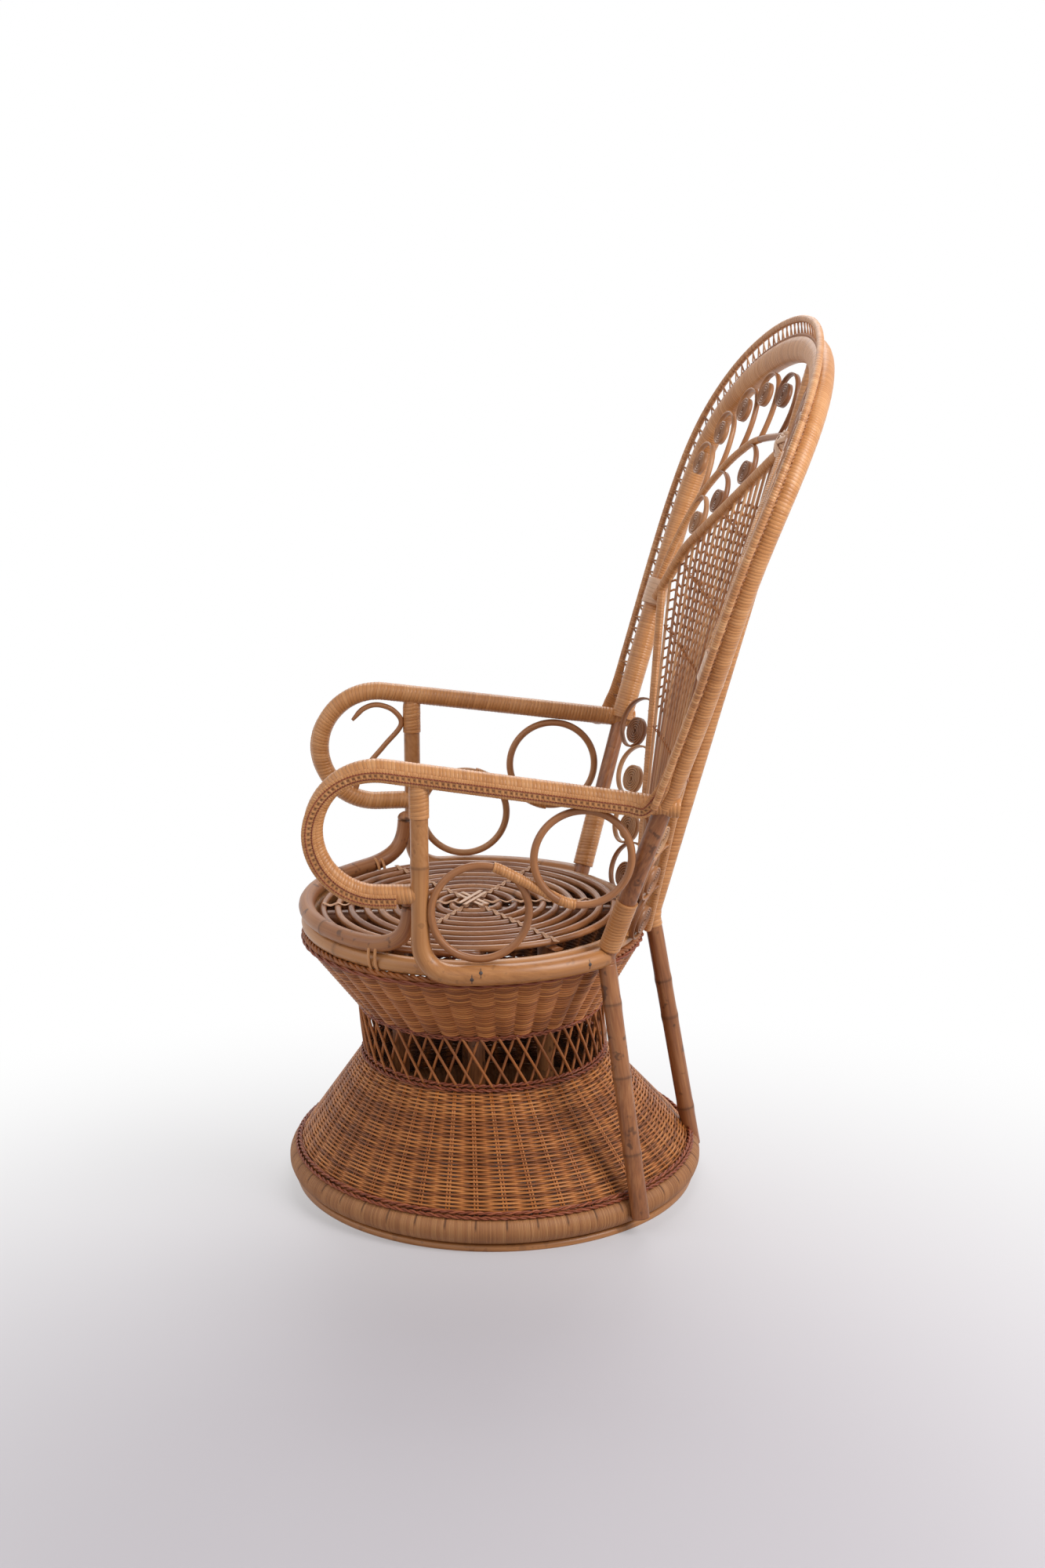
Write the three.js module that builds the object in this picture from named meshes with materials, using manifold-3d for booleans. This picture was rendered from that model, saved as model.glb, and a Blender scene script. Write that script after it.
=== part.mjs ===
// Rattan peacock chair: a waisted woven pedestal, a round coiled seat, two looped arms and a tall
// dished back with a fan of canes and spiral curls.
// Millimetres, +Z up. The sitter faces -Y, so +X is the sitter's left.

import * as THREE from 'three';
import { mergeVertices } from 'three/addons/utils/BufferGeometryUtils.js';
import Module from 'manifold-3d';

const wasm = await Module();
wasm.setup();
const { Manifold, Mesh: SolidMesh } = wasm;
const { degToRad, lerp } = THREE.MathUtils;

// Fit between pieces that touch
const GAP = 0.3;

// Pedestal, its centre on the floor at x = 0, y = 0
const BASE_RADIUS = 300;
const BASE_RING = 19;
const FLOOR_HOOP_WIDTH = 18;
const FLOOR_HOOP_HEIGHT = 9;
const WALL = 6;
const STAKES = 44;
const SKIRT_RIB = 3;
const NECK_LOW_RADIUS = 171;
const NECK_LOW_Y = -15;
const NECK_LOW_Z = 189;
const NECK_HIGH_RADIUS = 174;
const NECK_HIGH_Y = -20;
const NECK_HIGH_Z = 262;
const WALE = 5.5;
const WALE_OUT = 6.5;
const LATTICE_CANES = 24;
const LATTICE_CANE = 2.1;
const LATTICE_LAYER = 3.9;
const LATTICE_LEAN_OUTER = 1.5;
const LATTICE_LEAN_INNER = -1;
const BOWL_FLUTE = 5;
const BORDER = 4.5;
const BORDER_OUT = 6;
const BASE_WALE = 5;
const BASE_WALE_RISE = 0.015;
const INNER_POST = 12;
const INNER_POST_REACH = 105;

// Seat
const SEAT_Y = -31;
const SEAT_Z = 384;
const SEAT_RADIUS = 232;
const SEAT_HOOP = 12;
const FRONT_CANE = 11.5;
const FRONT_CANE_OUT = 4;
const FRONT_CANE_TURN = 80;
const RAIL = 11;
const COIL_CANE = 5;
const COIL_TURNS = 10;
const COIL_CENTRE = 13;
const COIL_IN = 14;
const LASHING_WIDTH = 8;
const LASHING_THICK = 2.4;
const LASHING_ANGLES = [30, 90, 150];

// Arms, posts and rear poles
const POST = 12;
const RUN = 14;
const POST_ANGLE = -18;
const POST_BEND = 50;
const POLE = 13;
const POLE_ANGLE = 42;
const POLE_FOOT_ANGLE = 37;
const POLE_FOOT = 310;
const POLE_WRAP = 3;
const POLE_WRAP_LENGTH = 78;
const ARM = 15.5;
const ARM_REAR_OUT = 30;
const ARM_REAR_Y = 208;
const ARM_REAR_Z = 612;
const ARM_TAIL = 20;
const ARM_LOOP_OUT = 8;
const ARM_LOOP_Y = -164;
const ARM_LOOP_Z = 578;
const ARM_LOOP = 85;
const ARM_TRIM_WIDTH = 24;
const ARM_TRIM_DROP = 8;
const ARM_TRIM_THICK = 4;
const SCROLL_OUT = 8.3;
const SCROLL_RING = 63;
const SCROLL_AHEAD = 9;
const SCROLL_CANE = 5.5;
const HOOK_CANE = 5;

// Back: measured up its own plane from the arms, and from the middle outwards
const RECLINE = 20;
const HOOP_FOOT_IN = 6;
const HOOP_WIDE = 338;
const HOOP_SHOULDER = 388;
const HOOP_RISE = 222;
const HOOP_DISH = 29;
const HOOP_BAND = 20;
const HOOP_DEPTH = 13;
const TRIM_WIDTH = 36;
const TRIM_FORWARD = 18;
const TRIM_RIM = 5;
const TRIM_TIE = 2.4;
const TRIM_TIES = 42;
const DISH_DEPTH = 21;
const DISH_SLOPE = 0.15;
const CHEVRON = 9;
const CHEVRON_APEX_DROP = 134;
const CHEVRON_KNEE_X = 222;
const CHEVRON_KNEE_DROP = 332;
const CHEVRON_END_X = 262;
const CHEVRON_END_DROP = 420;
const FAN_SIDE = 8;
const FAN_FOOT = 60;
const FAN_CANES = 6;
const FAN_CANE = 2.6;
const FAN_ROWS = [620, 760, 900];
const FAN_TWINE = 2;
const SPINE = 13;
const SPINE_FOOT = 292;
const SPINE_TOP_DROP = 14;
const SPINE_TOP_BEHIND = 9;
const BRANCH = 6;
const KNOT = 20;
const KNOT_AHEAD = 12;

// Curls: a strip on edge that opens out of a coil into a loop and a stem
const STRIP = 4;
const STRIP_DEPTH = 8;
const COIL = 17;
const COIL_HEART = 3.5;
const COIL_WINDS = 1;
const CURL_STEP_ANGLE = 45;
const TOP_LOOP = 44;
const LOW_LOOP = 38;
const SIDE_LOOP = 58;
const SIDE_COIL = 20;
const SIDE_CURLS = 4;
const SIDE_CURL_OFFSET = 36;
const SIDE_CURL_TOP = 0.55;
const SIDE_CURL_PITCH = 73;

// Sizes that follow from others: the coil and the arms keep to the seat ring, and the back's pieces hang from the
// top of its hoop
const seatCoilRadius = SEAT_RADIUS - COIL_IN;
const armRearX = SEAT_RADIUS + ARM_REAR_OUT;
const armLoopX = SEAT_RADIUS + ARM_LOOP_OUT;
const hoopFoot = armRearX - HOOP_FOOT_IN;
const hoopTop = HOOP_SHOULDER + HOOP_RISE;
const chevronApex = hoopTop - CHEVRON_APEX_DROP;
const chevronKnee = hoopTop - CHEVRON_KNEE_DROP;
const chevronEnd = hoopTop - CHEVRON_END_DROP;

const UP = new THREE.Vector3(0, 0, 1);
const ACROSS = new THREE.Vector3(1, 0, 0);
const V = (x, y, z) => new THREE.Vector3(x, y, z);

// Section outlines for swept pieces
function round(radius, sides) {
  const points = [];
  for (let j = 0; j < sides; j++) {
    const angle = (j / sides) * 2 * Math.PI;
    points.push([radius * Math.cos(angle), radius * Math.sin(angle)]);
  }
  return points;
}

function oval(a, b, sides) {
  return round(1, sides).map(([x, y]) => [x * a, y * b]);
}

// A closed skin over `count` sections of `sides` points each, joined end to end or capped
function skin(count, sides, at, loop) {
  const positions = [];
  for (let i = 0; i < count; i++) {
    for (let j = 0; j < sides; j++) {
      positions.push(...at(i, j).toArray());
    }
  }
  const faces = [];
  const spans = loop ? count : count - 1;
  for (let i = 0; i < spans; i++) {
    const next = (i + 1) % count;
    for (let j = 0; j < sides; j++) {
      const turn = (j + 1) % sides;
      const a = i * sides + j;
      const b = i * sides + turn;
      const c = next * sides + j;
      const d = next * sides + turn;
      faces.push(a, b, d, a, d, c);
    }
  }
  const last = (count - 1) * sides;
  for (let j = 1; j < sides - 1 && !loop; j++) {
    faces.push(0, j + 1, j, last, last + j, last + j + 1);
  }
  const geometry = new THREE.BufferGeometry();
  geometry.setAttribute('position', new THREE.Float32BufferAttribute(positions, 3));
  geometry.setIndex(faces);
  return facingOut(geometry);
}

// Turns every face round if the skin is inside out
function facingOut(geometry) {
  const p = geometry.attributes.position;
  const index = geometry.index.array;
  const [a, b, c] = [V(), V(), V()];
  let volume = 0;
  for (let k = 0; k < index.length; k += 3) {
    a.fromBufferAttribute(p, index[k]);
    b.fromBufferAttribute(p, index[k + 1]);
    c.fromBufferAttribute(p, index[k + 2]);
    volume += a.dot(b.cross(c));
  }
  if (volume < 0) {
    geometry.setIndex(Array.from(index).reverse());
  }
  return geometry;
}

// A section carried along a line of points; `up` holds the section's first axis level with it and
// `size` swells the section from place to place
function sweep(points, section, { up = null, loop = false, size = () => 1 } = {}) {
  const count = points.length;
  const frames = [];
  let normal = up ? up.clone() : null;
  for (let i = 0; i < count; i++) {
    const before = points[loop ? (i + count - 1) % count : Math.max(i - 1, 0)];
    const after = points[loop ? (i + 1) % count : Math.min(i + 1, count - 1)];
    const along = after.clone().sub(before).normalize();
    const guide = up ?? normal ?? (Math.abs(along.z) < 0.8 ? UP : ACROSS);
    normal = guide.clone().addScaledVector(along, -guide.dot(along)).normalize();
    frames.push([normal, along.clone().cross(normal)]);
  }
  const at = (i, j) => points[i].clone()
    .addScaledVector(frames[i][0], section[j][0] * size(i))
    .addScaledVector(frames[i][1], section[j][1] * size(i));
  return skin(count, section.length, at, loop);
}

function circle(radius, y, z, segments) {
  const points = [];
  for (let i = 0; i < segments; i++) {
    const angle = (i / segments) * 2 * Math.PI;
    points.push(V(radius * Math.cos(angle), y + radius * Math.sin(angle), z));
  }
  return points;
}

const hoop = (radius, y, z, section, segments) =>
  sweep(circle(radius, y, z, segments), section, { up: UP, loop: true });

// Solids for joining and cutting
function solid(geometry) {
  const bare = new THREE.BufferGeometry();
  bare.setAttribute('position', geometry.attributes.position);
  bare.setIndex(geometry.index);
  const merged = mergeVertices(bare, 1e-4);
  return new Manifold(new SolidMesh({
    numProp: 3,
    vertProperties: Float32Array.from(merged.attributes.position.array),
    triVerts: Uint32Array.from(merged.index.array),
  }));
}

function geometryOf(body) {
  const mesh = body.getMesh();
  const geometry = new THREE.BufferGeometry();
  const positions = [];
  for (let k = 0; k < mesh.vertProperties.length; k += mesh.numProp) {
    positions.push(...mesh.vertProperties.slice(k, k + 3));
  }
  geometry.setAttribute('position', new THREE.Float32BufferAttribute(positions, 3));
  geometry.setIndex(Array.from(mesh.triVerts));
  return geometry;
}

// Trims a piece back from its neighbours and keeps the main part
function fit(body, ...neighbours) {
  const left = neighbours.reduce((rest, other) => rest.subtract(other), body);
  return left.decompose().sort((a, b) => b.volume() - a.volume())[0];
}

const rod = (points, radius, sides, options) => solid(sweep(points, round(radius, sides), options));
const join = (bodies) => bodies.reduce((whole, body) => whole.add(body));

// Pedestal pieces
const RING_RADIUS = BASE_RADIUS - BASE_RING;
const RING_Z = FLOOR_HOOP_HEIGHT + GAP + BASE_RING;
const RING_SEGMENTS = 36;

const floorHoopSection = [
  [0, -FLOOR_HOOP_WIDTH / 2],
  [0, FLOOR_HOOP_WIDTH / 2],
  [FLOOR_HOOP_HEIGHT, FLOOR_HOOP_WIDTH / 3],
  [FLOOR_HOOP_HEIGHT, -FLOOR_HOOP_WIDTH / 3],
];
const floorHoop = solid(hoop(RING_RADIUS, 0, 0, floorHoopSection, RING_SEGMENTS));
const baseRing = (grow = 0) =>
  solid(hoop(RING_RADIUS, 0, RING_Z, round(BASE_RING + grow, 8), RING_SEGMENTS));

// A woven wall between two levels, with a rib on its outside where the weave rides over each stake
function wall(low, high, rib, grow) {
  const columns = 3 * STAKES;
  const angle = (i) => (i / columns) * 2 * Math.PI;
  const at = (i, j) => {
    const [end, out] = [[low, 1], [high, 1], [high, 0], [low, 0]][j];
    const groove = out * rib * (0.5 - 0.5 * Math.cos(angle(i) * STAKES));
    const radius = end.radius - (1 - out) * WALL - groove + (out ? grow : -grow);
    const lift = end === high ? grow : -grow;
    return V(radius * Math.cos(angle(i)), end.y + radius * Math.sin(angle(i)), end.z + lift);
  };
  return solid(skin(columns, 4, at, true));
}

const neckSlope = (NECK_LOW_RADIUS - RING_RADIUS) / (NECK_LOW_Z - RING_Z);
const skirtFoot = {
  radius: RING_RADIUS + WALL / 2 + 0.75 * SKIRT_RIB,
  y: 0,
  z: RING_Z + BASE_RING + GAP,
};
const skirtTop = {
  radius: NECK_LOW_RADIUS - neckSlope * WALE + 0.75 * SKIRT_RIB,
  y: NECK_LOW_Y,
  z: NECK_LOW_Z - WALE - GAP,
};
const skirt = (grow = 0) => wall(skirtFoot, skirtTop, SKIRT_RIB, grow);

// The dyed band at the skirt's foot lies in the corner over the ring
const skirtRun = Math.hypot(skirtFoot.radius - skirtTop.radius, skirtTop.z - skirtFoot.z);
const waleOff = (BASE_WALE + GAP) / skirtRun;
const baseWaleRadius = lerp(skirtFoot.radius, skirtTop.radius, BASE_WALE_RISE)
  + waleOff * (skirtTop.z - skirtFoot.z);
const baseWaleZ = lerp(skirtFoot.z, skirtTop.z, BASE_WALE_RISE)
  + waleOff * (skirtFoot.radius - skirtTop.radius);
const baseWaleY = lerp(skirtFoot.y, skirtTop.y, BASE_WALE_RISE);
const baseWaleBody = () =>
  solid(hoop(baseWaleRadius, baseWaleY, baseWaleZ, round(BASE_WALE, 5), STAKES));

// Open neck: two layers of crossing canes held between two bound rings
const LATTICE_PITCH = (2 * Math.PI) / LATTICE_CANES;

function neckCane(start, lean, layer) {
  const ends = [
    [NECK_LOW_RADIUS, NECK_LOW_Y, NECK_LOW_Z, start],
    [NECK_HIGH_RADIUS, NECK_HIGH_Y, NECK_HIGH_Z, start + lean * LATTICE_PITCH],
  ];
  const points = ends.map(([radius, y, z, angle]) =>
    V((radius + layer) * Math.cos(angle), y + (radius + layer) * Math.sin(angle), z));
  return rod(points, LATTICE_CANE, 3);
}

const bandSection = [[-WALE, -WALE_OUT], [WALE, -WALE_OUT], [WALE, WALE_OUT], [-WALE, WALE_OUT]];
const neckParts = [
  solid(hoop(NECK_LOW_RADIUS, NECK_LOW_Y, NECK_LOW_Z, bandSection, LATTICE_CANES)),
  solid(hoop(NECK_HIGH_RADIUS, NECK_HIGH_Y, NECK_HIGH_Z, bandSection, LATTICE_CANES)),
];
for (let k = 0; k < LATTICE_CANES; k++) {
  const start = (k + 0.25) * LATTICE_PITCH;
  neckParts.push(neckCane(start, LATTICE_LEAN_OUTER, LATTICE_LAYER));
  neckParts.push(neckCane(start, LATTICE_LEAN_INNER, -LATTICE_LAYER));
}
const neckLattice = join(neckParts);

// Seat ring and the bowl that carries it
const seatHoop = (grow = 0) =>
  solid(hoop(SEAT_RADIUS, SEAT_Y, SEAT_Z, round(SEAT_HOOP + grow, 8), RING_SEGMENTS));
const borderRadius = SEAT_RADIUS + BORDER_OUT;
const borderZ = SEAT_Z - Math.sqrt((SEAT_HOOP + BORDER + GAP) ** 2 - BORDER_OUT ** 2);
const bowlBorder = solid(hoop(borderRadius, SEAT_Y, borderZ, round(BORDER, 5), RING_SEGMENTS));
const bowlFoot = {
  radius: NECK_HIGH_RADIUS + WALL / 2 + 0.6 * BOWL_FLUTE,
  y: NECK_HIGH_Y,
  z: NECK_HIGH_Z + WALE + GAP,
};
const bowlTop = {
  radius: borderRadius + WALL / 2 + 0.6 * BOWL_FLUTE,
  y: SEAT_Y,
  z: borderZ - BORDER * Math.cos(Math.PI / 5) - GAP,
};
const bowl = (grow = 0) => wall(bowlFoot, bowlTop, BOWL_FLUTE, grow);

const rimPoint = (side, angle, radius, z) => V(
  side * radius * Math.cos(degToRad(angle)),
  SEAT_Y + radius * Math.sin(degToRad(angle)),
  z,
);

// Rails across the seat ring, one over the other, and the posts that stand under them
const crossRailZ = SEAT_Z - 2 * RAIL - GAP;
const crossRailShare = (crossRailZ - RAIL - bowlFoot.z) / (bowlTop.z - bowlFoot.z);
const crossReach = lerp(bowlFoot.radius, bowlTop.radius, crossRailShare) - WALL - GAP;
const longRailLine = [V(0, SEAT_Y - SEAT_RADIUS, SEAT_Z), V(0, SEAT_Y + SEAT_RADIUS, SEAT_Z)];
const crossRailLine = [V(-crossReach, SEAT_Y, crossRailZ), V(crossReach, SEAT_Y, crossRailZ)];
const longRailBody = (grow = 0) => rod(longRailLine, RAIL + grow, 8, { up: UP });
const crossRailBody = (grow = 0) => rod(crossRailLine, RAIL + grow, 8, { up: UP });
const longRail = fit(longRailBody(), seatHoop(GAP));
const crossRail = crossRailBody();

function innerPost(x, y, rail, railZ) {
  return fit(rod([V(x, y, 0), V(x, y, railZ - RAIL / 3)], INNER_POST, 8), rail);
}

// Seat coil: one cane wound outwards from the middle, lying on the long rail
const coilZ = SEAT_Z + RAIL + GAP + COIL_CANE;

function coilPoints() {
  const points = [];
  let angle = 0;
  while (angle <= COIL_TURNS * 2 * Math.PI) {
    const radius = lerp(COIL_CENTRE, seatCoilRadius, angle / (COIL_TURNS * 2 * Math.PI));
    points.push(V(radius * Math.cos(angle), SEAT_Y + radius * Math.sin(angle), coilZ));
    angle += lerp(Math.PI / 4, Math.PI / 8, radius / seatCoilRadius);
  }
  return points;
}

const seatCoil = rod(coilPoints(), COIL_CANE, 4, { up: UP });

function lashing(angle) {
  const reach = seatCoilRadius - COIL_CANE;
  const half = LASHING_WIDTH / 2;
  const z = coilZ + COIL_CANE + GAP + LASHING_THICK / 2;
  const section = [[-LASHING_THICK / 2, -half], [-LASHING_THICK / 2, half],
    [LASHING_THICK / 2, half], [LASHING_THICK / 2, -half]];
  const line = [rimPoint(1, angle, reach, z), rimPoint(1, angle + 180, reach, z)];
  return solid(sweep(line, section, { up: UP }));
}

// Arms: a straight rest that rolls over into a round loop and returns to the post
const RAIL_RUN = SEAT_RADIUS + SEAT_HOOP + GAP + RUN;
const postFoot = (side) => rimPoint(side, POST_ANGLE, RAIL_RUN, SEAT_Z);
const armX = (y) => lerp(armLoopX, armRearX, (y - ARM_LOOP_Y) / (ARM_REAR_Y - ARM_LOOP_Y));
const loopReach = Math.hypot(ARM_REAR_Y - ARM_LOOP_Y, ARM_LOOP_Z - ARM_REAR_Z);
const armRise = Math.asin(ARM_LOOP / loopReach)
  + Math.atan2(ARM_LOOP_Z - ARM_REAR_Z, ARM_REAR_Y - ARM_LOOP_Y);
const armZ = (y) => ARM_REAR_Z + (ARM_REAR_Y - y) * Math.tan(armRise);

// The arm's line, moved outwards by `out` and towards the inside of its loop by `drop`
function armPoints(side, out, drop = 0) {
  const line = new THREE.Path();
  const loop = ARM_LOOP - drop;
  line.moveTo(-(ARM_REAR_Y + ARM_TAIL), armZ(ARM_REAR_Y + ARM_TAIL) - drop / Math.cos(armRise));
  line.lineTo(-ARM_LOOP_Y - loop * Math.sin(armRise), ARM_LOOP_Z + loop * Math.cos(armRise));
  line.absarc(-ARM_LOOP_Y, ARM_LOOP_Z, loop, armRise + Math.PI / 2, -Math.PI / 2, true);
  line.lineTo(-postFoot(1).y, ARM_LOOP_Z - loop);
  return line.getPoints(8).map((p) => V(side * (armX(-p.x) + out), -p.x, p.y));
}

function railPoints(side) {
  const foot = postFoot(side);
  const top = armZ(foot.y) - (ARM + GAP) / Math.cos(armRise);
  const bendSpan = THREE.MathUtils.radToDeg(POST_BEND / RAIL_RUN);
  const bend = new THREE.QuadraticBezierCurve3(
    V(foot.x, foot.y, SEAT_Z + POST_BEND),
    foot.clone(),
    rimPoint(side, POST_ANGLE + bendSpan, RAIL_RUN, SEAT_Z),
  );
  const points = [V(foot.x, foot.y, top), ...bend.getPoints(4)];
  const steps = 6;
  for (let k = 1; k <= steps; k++) {
    const angle = lerp(POST_ANGLE + bendSpan, POLE_ANGLE, k / steps);
    points.push(rimPoint(side, angle, RAIL_RUN, SEAT_Z));
  }
  return points;
}

function polePoints(side) {
  const foot = degToRad(POLE_FOOT_ANGLE);
  return [
    V(side * armRearX, ARM_REAR_Y, ARM_REAR_Z),
    rimPoint(side, POLE_ANGLE, SEAT_RADIUS + SEAT_HOOP + GAP + POLE, SEAT_Z),
    V(side * POLE_FOOT * Math.cos(foot), POLE_FOOT * Math.sin(foot), RING_Z),
  ];
}

const armBody = (side, grow = 0) => rod(armPoints(side, 0), ARM + grow, 8, { up: ACROSS });
const railSize = (i) => lerp(POST, RUN, THREE.MathUtils.clamp((i - 1) / 4, 0, 1));
const railBody = (side, grow = 0) =>
  rod(railPoints(side), 1, 8, { size: (i) => railSize(i) + grow });
const poleBody = (side, grow = 0) => rod(polePoints(side), POLE + grow, 8);

const arm = (side) => fit(armBody(side), railBody(side, GAP));
const sideRail = (side) => fit(railBody(side), poleBody(side, GAP), seatHoop(GAP));
const pole = (side) => fit(poleBody(side), armBody(side, GAP), seatHoop(GAP), baseRing(GAP));

function poleWrap(side) {
  const [top, rim] = polePoints(side);
  const along = top.clone().sub(rim).normalize();
  const low = rim.clone().addScaledVector(along, SEAT_HOOP + POLE_WRAP);
  const high = low.clone().addScaledVector(along, POLE_WRAP_LENGTH);
  const shell = rod([low, high], POLE + POLE_WRAP, 8);
  return fit(shell, poleBody(side, GAP), railBody(side, GAP), seatHoop(GAP));
}

function armTrim(side) {
  const half = ARM_TRIM_THICK / 2;
  const wide = ARM_TRIM_WIDTH / 2;
  const section = [[-half, -wide], [half, -wide * 0.6], [half, wide * 0.6], [-half, wide]];
  const points = armPoints(side, ARM + GAP + half, ARM_TRIM_DROP);
  const up = V(side, 0, 0);
  const band = solid(sweep(points, section, { up }));
  return fit(band, railBody(side, GAP), poleBody(side, GAP), backHoopBody(GAP));
}

// Scroll under the arm: two rings and the link between them, wedged in the arm's frame
const foot = postFoot(1);
const scrollX = foot.x + SCROLL_OUT;
const frontRingY = foot.y + SCROLL_RING
  + Math.sqrt((POST + SCROLL_CANE + GAP) ** 2 - (scrollX - foot.x) ** 2);
const frontRingZ = SEAT_Z + SCROLL_RING
  + Math.sqrt((RUN + SCROLL_CANE + GAP) ** 2 - (RAIL_RUN - scrollX) ** 2);
const poleShare = (z) => (ARM_REAR_Z - z) / (ARM_REAR_Z - SEAT_Z);
const poleAt = (z) => polePoints(1)[0].lerp(polePoints(1)[1], poleShare(z));
const rearRingZ = armZ(100) - (ARM + SCROLL_CANE + GAP) / Math.cos(armRise) - SCROLL_RING;
const poleNear = poleAt(rearRingZ);
const rearRingY = poleNear.y - SCROLL_RING
  - SCROLL_AHEAD - Math.sqrt((POLE + SCROLL_CANE + GAP) ** 2 - (scrollX - poleNear.x) ** 2);

function scroll(side) {
  const ring = (y, z) => {
    const torus = new THREE.TorusGeometry(SCROLL_RING, SCROLL_CANE, 5, 18);
    torus.rotateY(Math.PI / 2);
    torus.translate(side * scrollX, y, z);
    return solid(torus);
  };
  const apart = Math.hypot(rearRingY - frontRingY, rearRingZ - frontRingZ);
  const lean = Math.atan2(rearRingZ - frontRingZ, rearRingY - frontRingY)
    + Math.acos(2 * SCROLL_RING / apart);
  const dy = SCROLL_RING * Math.cos(lean);
  const dz = SCROLL_RING * Math.sin(lean);
  const link = rod([
    V(side * scrollX, frontRingY + dy, frontRingZ + dz),
    V(side * scrollX, rearRingY - dy, rearRingZ - dz),
  ], SCROLL_CANE, 6);
  const body = join([ring(frontRingY, frontRingZ), ring(rearRingY, rearRingZ), link]);
  return fit(body, armBody(side, GAP), railBody(side, GAP), poleBody(side, GAP));
}

// Hook that fills the right arm's loop
function loopHook(side) {
  const clear = ARM_LOOP - ARM - HOOK_CANE - GAP;
  const inner = clear * 0.56;
  const curve = new THREE.CatmullRomCurve3([
    V(0, ARM_LOOP_Y - inner, ARM_LOOP_Z + inner * 1.15),
    V(0, ARM_LOOP_Y + 2, ARM_LOOP_Z + clear),
    V(0, ARM_LOOP_Y + inner, ARM_LOOP_Z + inner * 0.95),
    V(0, ARM_LOOP_Y + inner * 0.3, ARM_LOOP_Z),
    V(0, ARM_LOOP_Y - inner * 0.62, ARM_LOOP_Z - inner * 1.1),
    V(0, ARM_LOOP_Y - inner, ARM_LOOP_Z - ARM_LOOP * 0.92),
  ]);
  const points = curve.getPoints(18);
  points.forEach((p) => {
    p.x = side * armX(p.y);
  });
  return fit(rod(points, HOOK_CANE, 5, { up: ACROSS }), armBody(side, GAP), railBody(side, GAP));
}

// Front cane: lies on the seat ring round the front and turns up beside the posts
const frontCaneZ = SEAT_Z + Math.sqrt((0.95 * SEAT_HOOP + FRONT_CANE) ** 2 - FRONT_CANE_OUT ** 2);

function frontCane() {
  const turnUp = [[-31, 0.04], [-26, 0.18], [-23.5, 0.4], [-23, 1]];
  const left = turnUp.map(([angle, share]) =>
    rimPoint(1, angle, SEAT_RADIUS + FRONT_CANE_OUT, frontCaneZ + share * FRONT_CANE_TURN));
  const right = turnUp.map(([angle, share]) =>
    rimPoint(-1, angle, SEAT_RADIUS + FRONT_CANE_OUT, frontCaneZ + share * FRONT_CANE_TURN));
  const sweepAngles = [];
  for (let angle = -40; angle >= -140; angle -= 10) {
    sweepAngles.push(rimPoint(1, angle, SEAT_RADIUS + FRONT_CANE_OUT, frontCaneZ));
  }
  const body = rod([...left.reverse(), ...sweepAngles, ...right], FRONT_CANE, 8);
  return fit(body, railBody(1, GAP), railBody(-1, GAP), seatHoop(GAP));
}

// Back plane
const leanSin = Math.sin(degToRad(RECLINE));
const leanCos = Math.cos(degToRad(RECLINE));
const BACK_UP = V(0, leanSin, leanCos);
const BACK_REAR = V(0, leanCos, -leanSin);
const onBack = (x, up, behind) => V(x, ARM_REAR_Y, ARM_REAR_Z)
  .addScaledVector(BACK_UP, up)
  .addScaledVector(BACK_REAR, behind);
const onDish = (x, up) => onBack(x, up, DISH_DEPTH - DISH_SLOPE * Math.abs(x));

// The hoop bows too: its top lies behind the arms' plane and its wide sides come forward of it
const hoopDish = (x) => HOOP_DISH * (hoopFoot ** 2 - x ** 2) / HOOP_WIDE ** 2;

function hoopOutline() {
  const line = new THREE.Path();
  line.moveTo(-hoopFoot, 0);
  const swell = lerp(hoopFoot, HOOP_WIDE, 0.45);
  const [low, high] = [HOOP_SHOULDER * 0.425, HOOP_SHOULDER * 0.725];
  line.bezierCurveTo(-swell, low, -HOOP_WIDE, high, -HOOP_WIDE, HOOP_SHOULDER);
  line.absellipse(0, HOOP_SHOULDER, HOOP_WIDE, HOOP_RISE, Math.PI, 0, true);
  line.bezierCurveTo(HOOP_WIDE, high, swell, low, hoopFoot, 0);
  return line;
}

const hoopLine = hoopOutline();
const backHoopBody = (grow = 0) => solid(sweep(
  hoopLine.getPoints(9).map((p) => onBack(p.x, p.y, hoopDish(p.x))),
  oval(HOOP_DEPTH + grow, HOOP_BAND + grow, 8),
  { up: BACK_REAR },
));

const backHoop = fit(backHoopBody(), armBody(1, GAP), armBody(-1, GAP));

// Lacy edge: a rim carried outside and in front of the hoop by slanting ties
function trimAt(share) {
  const p = hoopLine.getPointAt(share);
  const along = hoopLine.getTangentAt(share);
  const forward = TRIM_FORWARD - hoopDish(p.x);
  return onBack(p.x - along.y * TRIM_WIDTH, p.y + along.x * TRIM_WIDTH, -forward);
}

const hoopAt = (share) => {
  const p = hoopLine.getPointAt(share);
  return onBack(p.x, p.y, hoopDish(p.x));
};

function trimLace() {
  const rimPoints = [];
  const rimSteps = 44;
  for (let k = 0; k <= rimSteps; k++) {
    rimPoints.push(trimAt(lerp(0.004, 0.996, k / rimSteps)));
  }
  const parts = [rod(rimPoints, TRIM_RIM, 5, { up: BACK_REAR })];
  for (let k = 0; k < TRIM_TIES; k++) {
    const from = (k + 0.5) / TRIM_TIES;
    const slant = (k % 2 ? 0.3 : -0.3) / TRIM_TIES;
    parts.push(rod([hoopAt(from - slant), trimAt(from + slant)], TRIM_TIE, 3));
  }
  return fit(join(parts), backHoopBody(GAP), armBody(1, GAP), armBody(-1, GAP));
}

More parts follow.
